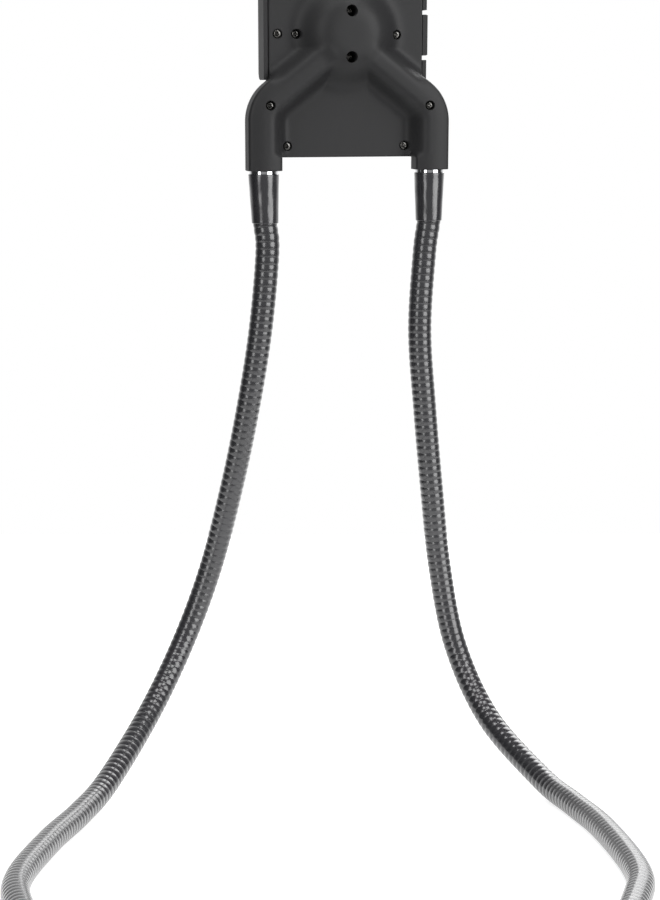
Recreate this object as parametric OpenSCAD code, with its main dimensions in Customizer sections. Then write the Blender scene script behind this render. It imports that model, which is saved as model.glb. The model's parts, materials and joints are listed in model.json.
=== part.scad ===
// Neck and desk stand for a phone. Two goosenecks rise from one loop that lies on the table
// and carry a flat head with a spring clamp. The head leans and turns a little, so it is drawn
// in its own frame: x to the right seen from behind, y towards the phone, z up, hub at zero.

/* [Stand] */
// Widest distance between the hose centres of the neck loop
loop_w = 258; // [230:1:280]
// Distance from the widest place of the loop to its front
loop_front = 161; // [140:1:180]
// Distance of the loop's widest place behind the stand's middle, left side
left_turn_y = -27; // [-35:1:-20]
// Distance of the loop's widest place behind the stand's middle, right side
right_turn_y = -17; // [-25:1:-10]
// Place of the hub to the right of the stand's middle
hub_x = 8; // [-10:1:20]
// Place of the hub behind the stand's middle
hub_y = 138; // [120:1:150]
// Height of the hub above the table
hub_z = 376; // [340:1:400]
// Turn of the head about the upright
head_yaw = 14; // [8:1:18]
// Lean of the head's top away from the phone
head_lean = 7; // [4:1:9]
// Roll of the head
head_roll = -1.7; // [-3:0.1:0]

/* [Gooseneck] */
// Outer diameter over the ribs
hose_d = 12; // [11:0.5:12]
// Depth of the grooves between the ribs
rib_depth = 0.35; // [0.2:0.05:0.5]
// Diameter of the hose's bore
bore_d = 9; // [8.6:0.1:9.6]
// Gap between the bore and the soft metal core
core_gap = 0.3; // [0.2:0.05:0.6]
// Depth of the flat where the loop lies on the table
flat_cut = 0.5; // [0.4:0.1:0.8]

/* [Case] */
// Width of the back plate
plate_w = 78; // [76:1:80]
// Height of the back plate
plate_h = 119; // [117:1:124]
// Corner radius of the back plate
plate_r = 6; // [4:0.5:8]
// Depth of the back cover without its hub
case_d = 5.5; // [5.3:0.1:6.5]
// Thickness of the front cover
lid_t = 1.7; // [1.5:0.1:2.2]
// Thickness of the covers' skin
skin = 1.8; // [1.6:0.1:2]
// Thickness of the covers' side walls
wall = 1.4; // [1.2:0.1:1.6]
// Radius of the hub dome
hub_r = 23; // [21:0.5:25]
// Height of the hub dome
hub_h = 12; // [11:0.5:12.5]

/* [Arms of the back cover] */
// Distance of a socket's axis outside the plate's side
socket_side = 3.5; // [3:0.5:5]
// Width of the struts and elbows
arm_w = 17; // [16.5:0.5:17.5]
// Depth of an elbow
elbow_d = 15.5; // [15:0.5:17]
// Height of the arms over the back plate
arm_h = 10.5; // [10:0.5:11]
// Edge radius of the arms
arm_r = 5; // [2.5:0.5:5]
// Radius of the hollow foot round the hub, the struts and the elbows
foot_r = 6; // [4:0.5:7]
// Radius of the elbow's bend at its middle line
bend_r = 15; // [13:0.5:17]
// Height of the bend's centre under the hub
bend_drop = 42; // [40:0.5:44]
// Height of the socket's mouth under the hub
socket_drop = 65.7; // [64.7:0.5:69.7]
// Fall of the struts from the hub to the elbows
strut_fall = 38; // [36:1:40]

/* [Clamp] */
// Height of a jaw
jaw_h = 44; // [42:1:46]
// Thickness of a jaw's wall
jaw_t = 2.1; // [1.8:0.1:2.6]
// Reach of a jaw from the back plate towards the phone
jaw_d = 13.5; // [12.5:0.5:18]
// Height of the tongue at the root of a jaw
tongue_h = 21.6; // [20:0.2:22]
// Thickness of the tongue
tongue_t = 2.4; // [2:0.1:2.6]
// Travel of the right jaw
jaw_travel = 32; // [20:1:32]
// Thickness of a jaw pad
pad_t = 5; // [3:0.5:6]
// Diameter of a guide rod
rod_d = 1.8; // [1.5:0.1:1.9]
// Distance of a guide rod from the middle of the clamp
rod_z = 18.5; // [18.3:0.1:18.9]
// Wire diameter of a clamp spring
spring_wire = 0.45; // [0.3:0.05:0.5]
// Thickness of the front pad
front_pad_t = 1; // [0.8:0.1:2]

/* [Neck ends] */
// Diameter of the bright collar under each socket
collar_d = 14.2; // [13.8:0.2:15]
// Height of the bright collar
collar_h = 1.5; // [1.2:0.1:3]
// Diameter of the spigot in the socket
spigot_d = 9; // [8:0.5:10]
// Diameter of a sleeve at its top
sleeve_top_d = 15.2; // [15:0.1:16]
// Diameter of a sleeve at its lower end
sleeve_end_d = 14; // [13.8:0.1:14.6]
// Length of a sleeve
sleeve_l = 24; // [20:1:28]

/* [Screws] */
// Head diameter of the small screws
screw_head_d = 3.5; // [3.2:0.1:3.8]
// Shank diameter of all the screws
screw_d = 1.9; // [1.6:0.1:2]
// Diameter of the deep holes in the hub
hub_hole_d = 4.4; // [4.2:0.1:5]
// Distance of a hub screw from the middle of the hub
hub_screw_z = 11; // [10.8:0.1:11.4]
// Distance of the middle cover screws from the middle
mid_screw_x = 25.5; // [25:0.1:26.5]
// Distance of the corner screws from the plate's sides
corner_screw_side = 9; // [9:0.5:11]
// Distance of the corner screws from the plate's upper and lower edges
corner_screw_edge = 5.5; // [5.5:0.5:7]

/* [Hidden] */
// Smoothness of the round shapes
$fn = 48;
// Overrun of a cutting shape past the face that it cuts
over = 1;
// Overlap of two shapes that are one piece
weld = 0.3;
// Gap between pieces that fit into each other
fit_gap = 0.2;
// Gap between pieces that slide on each other
slide_gap = 0.3;
// Gap round a turned piece in its bore
bore_gap = 0.05;

// Colours as the photograph shows them
matt_black = "#404040";
gloss_black = "#242424";
pad_black = "#2c2c2c";
steel = "#b8b8bc";
chrome = "#e4e4e8";
alloy = "#a8aaac";

socket_x = plate_w / 2 + socket_side;
// The sockets' axes lie in the parting plane of the elbows
part_y = elbow_d / 2 - arm_h;
elbow_out_r = bend_r + arm_w / 2;
// Turn of an elbow from its socket to its strut
elbow_turn = 90 - strut_fall;
// Depth of the clamp's works, midway in the case, and of the front cover's outer face
works_y = (skin + case_d) / 2;
lid_y = case_d + lid_t;
edge_x = plate_w / 2;
// Step all round where a strut starts in its elbow
strut_step = 0.1;
strut_w = arm_w - 2 * strut_step;
strut_h = arm_h - strut_step;
strut_r = arm_r - strut_step;
// Start and end of a strut and of the pocket inside it, as shares of its length
strut_shares = [-0.03, 0.85];
pocket_shares = [0.2, 0.75];
// How far a foot's arc dips into the plate and the wall that it joins, so that it ends sharply,
// the height of its centre over the plate, and the width that is left of it beside the wall
foot_dip = 0.3;
foot_z = foot_r - foot_dip;
foot_w = foot_z - sqrt(foot_r * foot_r - foot_z * foot_z);

// Screws: boss in the front cover, pillar under the hub, height of a head
boss_d = 4.4;
pillar_d = 7.4;
head_h = 1.1;
// Depth of a screw's seat under the plate and under an elbow's face
sink = 1.1;
elbow_sink = 2.4;
// Height of a hub screw's seat over the plate, and free room under a screw's tip
hub_seat_h = 4;
tip_room = 0.5;
// Length of the cross recess in a head, and depth of a tapped hole, as shares
cross_share = 0.62;
tap_share = 0.7;
// Place of an elbow screw on the bend's middle line, as a share of the turn
elbow_screw_share = 0.6;
elbow_screw_x = socket_x - bend_r + bend_r * cos(elbow_turn * elbow_screw_share);
elbow_screw_z = bend_r * sin(elbow_turn * elbow_screw_share) - bend_drop;
elbow_places = [[-elbow_screw_x, elbow_screw_z], [elbow_screw_x, elbow_screw_z]];
hub_places = [[0, -hub_screw_z], [0, hub_screw_z]];
corner_screw_x = plate_w / 2 - corner_screw_side;
corner_screw_z = plate_h / 2 - corner_screw_edge;
// The jaw screw's place between the middle screw and the plate's side, as a share of that way
jaw_screw_share = 0.674;
jaw_screw_x = mid_screw_x + (plate_w / 2 - mid_screw_x) * jaw_screw_share;
corner_places = [for (sx = [-1, 1]) for (sz = [-1, 1]) [sx * corner_screw_x, sz * corner_screw_z]];
cover_places = concat([[-mid_screw_x, 0], [mid_screw_x, 0]], corner_places);

// Front cover: height and thickness of its rim, and the guides of the right tongue
rim_h = 1.5;
rim_t = 1.2;
guide_t = 1.2;
guide_from_x = 12;
guide_l = 22;
// Size of the front pad as a share of the cover, and depth of its recess
pad_share = 0.78;
pad_sink = 0.4;

// Jaws: rear edge, corner radius, gaps beside the tongue's root, the root's step
jaw_y = 0.6;
jaw_r = 4;
jaw_x = edge_x + slide_gap;
relief_z = 11;
relief_w = 2.2;
relief_d = 9;
root_step = 0.5;
root_gap = 0.2;
left_tongue_x = 20;
wide_tongue_x = 8;
tongue_end_x = mid_screw_x - jaw_travel - boss_d;
// Jaw pads: bare margin of the jaw, radius and depth of the hollow as shares of the pad
pad_margin = 1.5;
hollow_share = 0.9;
bite_share = 0.3;

// Guide rods: bearing in the case, boss on the jaw, plastic left over a rod's end, nut
bearing_w = 5.4;
bearing_l = 2.6;
rod_boss_l = 2.6;
rod_boss_w = 4.2;
bearing_x = edge_x - rod_boss_l - slide_gap;
rod_skin = 1;
rod_end_x = -24;
nut_d = 3.2;
nut_l = 2;

// Springs: outer diameter, turns, rings in a turn and sides of the wire
spring_d = 3;
spring_turns = 9;
spring_rings = 8;
spring_sides = 6;
spring_r = (spring_d - spring_wire) / 2;
spring_from_x = rod_end_x + nut_l + spring_wire / 2 + bore_gap;
spring_to_x = bearing_x - bearing_l - spring_wire / 2 - bore_gap;

// Neck ends: spigot and its groove, gap at the socket, shank in the hose, sleeve, and the
// hose's diameter inside the sleeve, where its ribs are taken off
spigot_l = 20;
groove_h = 3.6;
groove_depth = 0.85;
socket_gap = 0.1;
shank_l = 15;
shank_hollow_share = 0.6;
sleeve_r = 0.8;
sleeve_edge_step = 30;
sleeve_room = 0.1;
bare_d = 11;
shank_d = bore_d - 2 * core_gap;
hose_top_z = -socket_drop - socket_gap - collar_h - bore_gap;
mouth_z = hose_top_z - sleeve_l;

// Hose: height of its middle over the table, sides, ribs, and rings between two bore rings
lie_z = hose_d / 2 - flat_cut;
sides = 8;
rib_count = 180;
bore_step = 6;
// Ends of the stretches of the hose, counted in ribs from the left sleeve
upper_ribs = 9;
arm_ribs = 27;
lower_ribs = 9;
// Samples of the route between two of its points
samples = 10;

// Route of an arm from sleeve to table: share of the way outwards to the loop's widest
// place, of the way back from that place to the sleeve, and of the height of the sleeve
left_arm_shares = [[-0.01, 1.013, 0.947], [0.03, 1.051, 0.807], [0.101, 1.103, 0.663],
    [0.194, 1.168, 0.516], [0.312, 1.229, 0.365], [0.452, 1.211, 0.232],
    [0.615, 1.063, 0.113], [0.783, 0.781, 0.025], [0.876, 0.572, 0.002], [0.953, 0.32, 0]];
right_arm_shares = [[-0.025, 1.011, 0.942], [-0.05, 1.04, 0.803], [-0.012, 1.077, 0.66],
    [0.039, 1.115, 0.511], [0.1, 1.147, 0.358], [0.204, 1.127, 0.212],
    [0.404, 1.005, 0.091], [0.696, 0.78, 0.014], [0.842, 0.589, 0], [0.943, 0.352, 0]];
// Front of the loop: share of its half width and of its length, to the middle of the front
front_shares = [[0.955, 0.22], [0.82, 0.5], [0.52, 0.82], [0, 1]];

function lerp(a, b, t) = a + (b - a) * t;
function unit(v) = v / norm(v);

// Turn the head's own axes into the stand's axes
function about_x(v, a) = [v.x, v.y * cos(a) - v.z * sin(a), v.y * sin(a) + v.z * cos(a)];
function about_y(v, a) = [v.x * cos(a) + v.z * sin(a), v.y, v.z * cos(a) - v.x * sin(a)];
function about_z(v, a) = [v.x * cos(a) - v.y * sin(a), v.x * sin(a) + v.y * cos(a), v.z];
function head_point(v) = [hub_x, hub_y, hub_z]
    + about_z(about_x(about_y(v, head_roll), head_lean), head_yaw);

module in_head() {
    translate([hub_x, hub_y, hub_z]) rotate([0, 0, head_yaw]) rotate([head_lean, 0, 0])
        rotate([0, head_roll, 0]) children();
}

// Draws both sides of the head from the shape of its right side
module both_sides() {
    children();
    mirror([1, 0, 0]) children();
}

// Raises an outline that is drawn in the head's x and z between two depths
module slab(from_y, to_y) {
    translate([0, to_y, 0]) rotate([90, 0, 0]) linear_extrude(to_y - from_y) children();
}

// A round bar or hole along the head's y, and one along its x
module bar_y(d, from_y, to_y) {
    translate([0, to_y, 0]) rotate([90, 0, 0]) cylinder(d = d, h = to_y - from_y);
}

module bar_x(d, from_x, to_x) {
    translate([from_x, 0, 0]) rotate([0, 90, 0]) cylinder(d = d, h = to_x - from_x);
}

module at_places(places) {
    for (p = places) translate([p.x, 0, p.y]) children();
}

module round_rect(w, h, r) {
    square([w - 2 * r, h], center = true);
    square([w, h - 2 * r], center = true);
    for (sx = [-1, 1]) for (sz = [-1, 1])
        translate([sx * (w / 2 - r), sz * (h / 2 - r)]) circle(r);
}

// Section of an arm: straight sides and two rounded edges on its outer face
module arm_section(w, base, h, r) {
    translate([-w / 2, base]) square([w, h - r - base]);
    translate([r - w / 2, base]) square([w - 2 * r, h - base]);
    intersection() {
        translate([-w / 2, base]) square([w, h - base]);
        for (s = [-1, 1]) translate([s * (w / 2 - r), h - r]) circle(r);
    }
}

// Section of a hollow foot on the right of a wall, cut back by a step
module foot_section(wall_x, step) {
    difference() {
        translate([wall_x - weld - step, -weld]) square([weld + step + foot_w, weld + foot_w]);
        translate([wall_x + foot_z, foot_z]) circle(foot_r + step);
    }
}

// Frame of the right arm: the bend's centre, with the section's height towards the rear
module at_bend() {
    translate([socket_x - bend_r, 0, -bend_drop]) rotate([90, 0, 0]) children();
}

// The right elbow: the section goes up from the socket and round the bend
module elbow_sweep(w, base, h, r) {
    at_bend() {
        rotate([90, 0, 0]) linear_extrude(socket_drop - bend_drop)
            translate([bend_r, 0]) arm_section(w, base, h, r);
        rotate_extrude(angle = elbow_turn) translate([bend_r, 0]) arm_section(w, base, h, r);
    }
}

// The right strut, between two shares of the way from the elbow to the hub
module strut_sweep(w, base, h, r, shares) {
    reach = (socket_x - bend_r + bend_r * cos(elbow_turn)) / cos(strut_fall);
    at_bend() rotate([0, 0, elbow_turn]) translate([bend_r, reach * shares[1], 0])
        rotate([90, 0, 0]) linear_extrude(reach * (shares[1] - shares[0]))
        arm_section(w, base, h, r);
}

// The hollow feet of the right arm: inside the elbow, and on both sides of the strut
module arm_feet() {
    reach = (socket_x - bend_r + bend_r * cos(elbow_turn)) / cos(strut_fall);
    at_bend() {
        rotate([90, 0, 0]) linear_extrude(plate_h / 2 - bend_drop)
            translate([bend_r, 0]) mirror([1, 0]) foot_section(arm_w / 2, 0);
        rotate_extrude(angle = elbow_turn)
            translate([bend_r, 0]) mirror([1, 0]) foot_section(arm_w / 2, 0);
        rotate([0, 0, elbow_turn]) translate([bend_r, reach * strut_shares[1], 0])
            rotate([90, 0, 0]) linear_extrude(reach * (strut_shares[1] - strut_shares[0])) {
            foot_section(arm_w / 2, strut_step);
            mirror([1, 0]) foot_section(arm_w / 2, strut_step);
        }
    }
}

// Outline of the right elbow, wider than the elbow by a gap on each side
module elbow_outline(gap) {
    w = arm_w + 2 * gap;
    far = 2 * elbow_out_r;
    translate([socket_x - w / 2, -socket_drop - over]) square([w, socket_drop - bend_drop + over]);
    translate([socket_x - bend_r, -bend_drop]) intersection() {
        difference() {
            circle(bend_r + w / 2);
            circle(bend_r - w / 2);
        }
        polygon([[0, 0], [far, 0], [far, far * tan(elbow_turn / 2)],
            [far * cos(elbow_turn), far * sin(elbow_turn)],
            [-gap * sin(elbow_turn), gap * cos(elbow_turn)]]);
    }
}

// Outline of the covers: a plate whose lower corners make room for the elbow caps
module case_outline(inset) {
    difference() {
        round_rect(plate_w - 2 * inset, plate_h - 2 * inset, plate_r - inset);
        elbow_outline(fit_gap + inset);
        mirror([1, 0]) elbow_outline(fit_gap + inset);
    }
}

// A screw along y: a low round head with a cross recess, and its shank
module screw(head_d, seat_y, tip_y) {
    slot_w = head_d / 5;
    slot_l = head_d * cross_share;
    difference() {
        union() {
            bar_y(head_d, seat_y - head_h, seat_y);
            bar_y(screw_d, seat_y - weld, tip_y);
        }
        for (a = [0, 90]) rotate([0, a, 0])
            translate([-slot_l / 2, seat_y - head_h - over, -slot_w / 2])
            cube([slot_l, over + head_h / 2, slot_w]);
    }
}

// The recess and the hole for a screw whose seat lies under a face, cut from over the feet
module screw_seat(face_y, depth) {
    bar_y(screw_head_d + 2 * fit_gap, face_y - foot_r, face_y + depth);
    bar_y(screw_d + 2 * fit_gap, face_y, face_y + elbow_d);
}

// A spigot with a groove at its middle, or the hole that fits it when a gap is given
module spigot(gap, foot) {
    end_h = (spigot_l - groove_h) / 2 - gap;
    translate([socket_x, part_y, -socket_drop - foot])
        cylinder(d = spigot_d + 2 * gap, h = end_h + foot);
    translate([socket_x, part_y, -socket_drop - foot])
        cylinder(d = spigot_d - 2 * groove_depth + 2 * gap, h = spigot_l + foot);
    translate([socket_x, part_y, spigot_l - socket_drop - end_h])
        cylinder(d = spigot_d + 2 * gap, h = end_h + gap);
}

// The dome of the hub: a flat middle and a quarter round down to its foot
module dome(r, h, base) {
    rotate([90, 0, 0]) rotate_extrude() {
        translate([0, base]) square([r - h, h - base]);
        translate([0, base]) square([r, -base]);
        intersection() {
            translate([r - h, 0]) circle(h);
            square([r, h]);
        }
    }
}

// The hollow foot of the dome: its arc meets the dome's and the plate's faces at the same angle
module dome_foot() {
    foot_x = hub_r - hub_h + sqrt(pow(hub_h + foot_z, 2) - pow(foot_z, 2));
    rotate([90, 0, 0]) rotate_extrude() difference() {
        polygon([[hub_r - hub_h, -weld], [hub_r - hub_h, 0], [foot_x, foot_z],
            [foot_x - foot_z + foot_w, 0], [foot_x - foot_z + foot_w, -weld]]);
        translate([foot_x, foot_z]) circle(foot_r);
    }
}

// The blocks inside the right wall that the guide rods slide in
module bearing_blocks() {
    for (s = [-1, 1])
        translate([bearing_x - bearing_l, skin - weld, s * rod_z - bearing_w / 2])
        cube([bearing_l, case_d - skin + weld, bearing_w]);
}

// Gate in the right side wall for a jaw's tongue
module tongue_gate() {
    translate([edge_x - wall - over, works_y - tongue_t / 2 - fit_gap, -tongue_h / 2 - fit_gap])
        cube([wall + 2 * over, case_d, tongue_h + 2 * fit_gap]);
}

// Gates in the right side wall for the jaw's rod bosses, and the bearings' bores
module rod_gates() {
    for (s = [-1, 1]) {
        translate([edge_x - wall - over, skin, s * rod_z - rod_boss_w / 2 - fit_gap])
            cube([wall + 2 * over, case_d, rod_boss_w + 2 * fit_gap]);
        translate([0, works_y, s * rod_z])
            bar_x(rod_d + 2 * bore_gap, bearing_x - bearing_l - over, bearing_x + over);
    }
}

// Opening in the plate under the hub, which makes the hub a shell
module hub_mouth() {
    difference() {
        circle(hub_r - hub_h);
        for (p = hub_places) translate(p) circle(d = pillar_d);
    }
}

// Back cover with its hub, struts and the rear halves of the elbows
module back_cover() {
    color(matt_black) in_head() difference() {
        union() {
            slab(0, skin) case_outline(0);
            slab(skin - weld, case_d) difference() {
                case_outline(0);
                case_outline(wall);
            }
            difference() {
                union() {
                    dome(hub_r, hub_h, -weld);
                    both_sides() strut_sweep(strut_w, -weld, strut_h, strut_r, strut_shares);
                    both_sides() elbow_sweep(arm_w, -weld, arm_h, arm_r);
                    intersection() {
                        union() {
                            dome_foot();
                            both_sides() arm_feet();
                        }
                        slab(-foot_r, weld) round_rect(plate_w, plate_h, plate_r);
                    }
                }
                dome(hub_r - skin, hub_h - skin, -skin - over);
                both_sides() strut_sweep(strut_w - 2 * skin, -skin - over, strut_h - skin,
                    strut_r - skin, pocket_shares);
            }
            at_places(hub_places) bar_y(pillar_d, skin - hub_h + weld, skin);
            bearing_blocks();
        }
        slab(-over, skin + over) hub_mouth();
        both_sides() slab(part_y, case_d + over) elbow_outline(fit_gap);
        both_sides() spigot(bore_gap, over);
        both_sides() tongue_gate();
        rod_gates();
        at_places(hub_places) {
            bar_y(hub_hole_d, -hub_h - over, -hub_seat_h);
            bar_y(screw_d + 2 * fit_gap, -hub_h, skin + over);
        }
        at_places(cover_places) screw_seat(0, sink);
        translate([-jaw_screw_x, 0, 0]) screw_seat(0, sink);
        at_places(elbow_places) screw_seat(-arm_h, elbow_sink);
    }
}

// Outline of the recess for the front pad
module pad_outline(gap) {
    round_rect(plate_w * pad_share - 2 * gap, plate_h * pad_share - 2 * gap, plate_r - gap);
}

// Front cover: a flat lid with a rim that locates it, screw bosses and the tongue's guides
module front_cover() {
    lid_places = concat(cover_places, hub_places);
    color(matt_black) in_head() difference() {
        union() {
            slab(case_d, lid_y) case_outline(0);
            slab(case_d - rim_h, case_d + weld) difference() {
                case_outline(wall + fit_gap);
                case_outline(wall + fit_gap + rim_t);
                square([plate_w, jaw_h + 2 * rim_t], center = true);
            }
            at_places(lid_places) bar_y(boss_d, skin, case_d + weld);
            for (s = [-1, 1])
                translate([guide_from_x, works_y, s * (tongue_h / 2 + slide_gap + guide_t / 2) - guide_t / 2])
                cube([guide_l, case_d - works_y + weld, guide_t]);
        }
        at_places(lid_places) bar_y(screw_d + 2 * bore_gap, skin - over, case_d);
        slab(lid_y - pad_sink, lid_y + over) pad_outline(0);
    }
}

// Soft pad that the phone's back rests on
module front_pad() {
    color(pad_black) in_head() slab(lid_y - pad_sink, lid_y - pad_sink + front_pad_t)
        pad_outline(fit_gap);
}

// Front half of the right elbow, closed on the gooseneck's end by the elbow screw
module elbow_cap() {
    cap_h = elbow_d / 2;
    difference() {
        translate([0, part_y, 0]) mirror([0, 1, 0]) elbow_sweep(arm_w, 0, cap_h, arm_r);
        spigot(bore_gap, over);
        translate([elbow_screw_x, 0, elbow_screw_z])
            bar_y(screw_d + 2 * bore_gap, part_y - over, part_y + cap_h * tap_share);
    }
}

module left_elbow_cap() {
    color(matt_black) in_head() mirror([1, 0, 0]) elbow_cap();
}

module right_elbow_cap() {
    color(matt_black) in_head() elbow_cap();
}

// Wall of the right jaw, with two rounded corners on the phone's side and given cut-outs
module jaw_wall() {
    translate([jaw_x, 0, 0]) rotate([90, 0, 90]) linear_extrude(jaw_t) difference() {
        union() {
            translate([jaw_y, -jaw_h / 2]) square([jaw_d - jaw_y - jaw_r, jaw_h]);
            translate([jaw_y, jaw_r - jaw_h / 2]) square([jaw_d - jaw_y, jaw_h - 2 * jaw_r]);
            for (s = [-1, 1]) translate([jaw_d - jaw_r, s * (jaw_h / 2 - jaw_r)]) circle(jaw_r);
        }
        children();
    }
}

// Left jaw, fixed to the back cover by a screw through its short tongue
module left_jaw() {
    root_h = tongue_h - 2 * slide_gap;
    color(matt_black) in_head() mirror([1, 0, 0]) difference() {
        union() {
            jaw_wall();
            translate([left_tongue_x, works_y - tongue_t / 2, -root_h / 2])
                cube([jaw_x + weld - left_tongue_x, tongue_t, root_h]);
        }
        translate([mid_screw_x, 0, 0]) bar_y(boss_d + 2 * slide_gap, 0, case_d);
        translate([jaw_screw_x, 0, 0]) bar_y(screw_d + 2 * bore_gap, 0, case_d);
    }
}

// Right jaw: wall, slotted tongue and the two bosses that hold the guide rods
module right_jaw() {
    slot_d = boss_d + 2 * slide_gap;
    narrow_h = 2 * (hub_screw_z - pillar_d / 2 - slide_gap);
    color(matt_black) in_head() difference() {
        union() {
            jaw_wall() for (s = [-1, 1])
                translate([jaw_y - over, s * relief_z - relief_w / 2]) square([relief_d + over, relief_w]);
            translate([wide_tongue_x, works_y - tongue_t / 2, -tongue_h / 2])
                cube([jaw_x + weld - wide_tongue_x, tongue_t, tongue_h]);
            translate([tongue_end_x, works_y - tongue_t / 2, -narrow_h / 2])
                cube([wide_tongue_x + weld - tongue_end_x, tongue_t, narrow_h]);
            translate([jaw_x, jaw_y, relief_w / 2 - relief_z + root_gap])
                cube([jaw_t + root_step, relief_d, 2 * relief_z - relief_w - 2 * root_gap]);
            for (s = [-1, 1])
                translate([jaw_x - rod_boss_l, skin + fit_gap, s * rod_z - rod_boss_w / 2])
                cube([rod_boss_l + weld, case_d - skin - 2 * fit_gap, rod_boss_w]);
        }
        // The slot runs along the boss of the right middle screw, which stops the jaw
        slab(0, case_d) {
            translate([mid_screw_x, 0]) circle(d = slot_d);
            translate([mid_screw_x - jaw_travel - fit_gap, 0]) circle(d = slot_d);
            translate([mid_screw_x - jaw_travel - fit_gap, -slot_d / 2])
                square([jaw_travel + fit_gap, slot_d]);
        }
        for (s = [-1, 1]) translate([0, works_y, s * rod_z])
            bar_x(rod_d + 2 * bore_gap, 0, jaw_x + jaw_t - rod_skin);
    }
}

// Soft pad on the right jaw, hollowed along its height so that a phone's edge sits in it
module jaw_pad() {
    pad_h = jaw_h - 2 * pad_margin;
    pad_y = lid_y + slide_gap;
    pad_d = jaw_d - pad_y;
    hollow_r = pad_d * hollow_share;
    translate([jaw_x - pad_t, pad_y, -pad_h / 2]) difference() {
        cube([pad_t, pad_d, pad_h]);
        translate([hollow_r * (bite_share - 1), pad_d / 2, -over])
            cylinder(r = hollow_r, h = pad_h + 2 * over);
    }
}

module left_jaw_pad() {
    color(pad_black) in_head() mirror([1, 0, 0]) jaw_pad();
}

module right_jaw_pad() {
    color(pad_black) in_head() jaw_pad();
}

// Steel rods that keep the right jaw square and carry its springs
module guide_rods() {
    color(steel) in_head() for (s = [-1, 1]) translate([0, works_y, s * rod_z])
        bar_x(rod_d, rod_end_x, jaw_x + jaw_t - rod_skin);
}

// Collars on the rods' inner ends that the springs push against
module rod_nuts() {
    color(steel) in_head() for (s = [-1, 1]) translate([0, works_y, s * rod_z]) difference() {
        bar_x(nut_d, rod_end_x, rod_end_x + nut_l);
        bar_x(rod_d + 2 * bore_gap, rod_end_x - over, rod_end_x + nut_l + over);
    }
}

// Faces of a closed tube, made of rings that follow each other in the list of points
function tube_faces(rings, n) = concat(
    [for (i = [0:rings - 2]) for (j = [0:n - 1]) [i * n + j, i * n + (j + 1) % n, (i + 1) * n + j]],
    [for (i = [0:rings - 2]) for (j = [0:n - 1])
        [i * n + (j + 1) % n, (i + 1) * n + (j + 1) % n, (i + 1) * n + j]],
    [for (j = [1:n - 2]) [0, j + 1, j]],
    [for (j = [1:n - 2]) [(rings - 1) * n, (rings - 1) * n + j, (rings - 1) * n + j + 1]]);

// Compression spring round a guide rod: one unbroken coil of round wire
module clamp_spring() {
    n = spring_turns * spring_rings;
    points = [for (i = [0:n]) for (j = [0:spring_sides - 1])
        let (a = 360 * i / spring_rings, b = 360 * j / spring_sides,
            r = spring_r + spring_wire / 2 * cos(b))
        [lerp(spring_from_x, spring_to_x, i / n) + spring_wire / 2 * sin(b), r * cos(a), r * sin(a)]];
    polyhedron(points, tube_faces(n + 1, spring_sides));
}

// Least gap between a turn of the spring and the next, measured on the wire's middle
spring_middles = [for (i = [0:spring_turns * spring_rings])
    [(spring_to_x - spring_from_x) * i / (spring_turns * spring_rings),
        spring_r * cos(360 * i / spring_rings), spring_r * sin(360 * i / spring_rings)]];
echo(least_gap_in_spring = min([for (i = [0:len(spring_middles) - spring_rings])
    for (j = [i + spring_rings / 2:len(spring_middles) - 1])
        norm(spring_middles[j] - spring_middles[i])]) - spring_wire);

module clamp_springs() {
    color(steel) in_head() for (s = [-1, 1]) translate([0, works_y, s * rod_z]) clamp_spring();
}

module hub_screws() {
    color(steel) in_head() at_places(hub_places)
        screw(hub_hole_d - 2 * fit_gap, -hub_seat_h, case_d - tip_room);
}

module cover_screws() {
    color(steel) in_head() at_places(cover_places) screw(screw_head_d, sink, case_d - tip_room);
}

module elbow_screws() {
    color(steel) in_head() at_places(elbow_places)
        screw(screw_head_d, elbow_sink - arm_h, part_y + elbow_d / 2 * tap_share - tip_room);
}

module jaw_screw() {
    color(steel) in_head() translate([-jaw_screw_x, 0, 0])
        screw(screw_head_d, sink, works_y + tongue_t / 2);
}

// Bright end fitting: spigot in the socket, collar under it and a hollow shank in the hose
module ferrule() {
    collar_z = -socket_drop - socket_gap - collar_h;
    difference() {
        union() {
            spigot(0, socket_gap + weld);
            translate([socket_x, part_y, collar_z]) cylinder(d = collar_d, h = collar_h);
            translate([socket_x, part_y, collar_z - shank_l]) cylinder(d = shank_d, h = shank_l + weld);
        }
        translate([socket_x, part_y, collar_z - shank_l - over])
            cylinder(d = shank_d * shank_hollow_share, h = shank_l + spigot_l + collar_h + 3 * over);
    }
}

module left_ferrule() {
    color(chrome) in_head() mirror([1, 0, 0]) ferrule();
}

module right_ferrule() {
    color(chrome) in_head() ferrule();
}

// Sleeve over the gooseneck's end: tapered, with a rounded lower edge
module sleeve() {
    top_r = sleeve_top_d / 2;
    end_r = sleeve_end_d / 2;
    in_r = bare_d / 2 / cos(180 / sides) + sleeve_room;
    round_edge = [for (a = [0:sleeve_edge_step:90])
        [end_r - sleeve_r * (1 - cos(a)), sleeve_r * (1 - sin(a)) - sleeve_l]];
    translate([socket_x, part_y, hose_top_z]) rotate_extrude()
        polygon(concat([[in_r, 0], [top_r - sleeve_r / 2, 0], [top_r, -sleeve_r / 2]], round_edge,
            [[in_r, -sleeve_l]]));
}

module left_sleeve() {
    color(gloss_black) in_head() mirror([1, 0, 0]) sleeve();
}

module right_sleeve() {
    color(gloss_black) in_head() sleeve();
}

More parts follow.
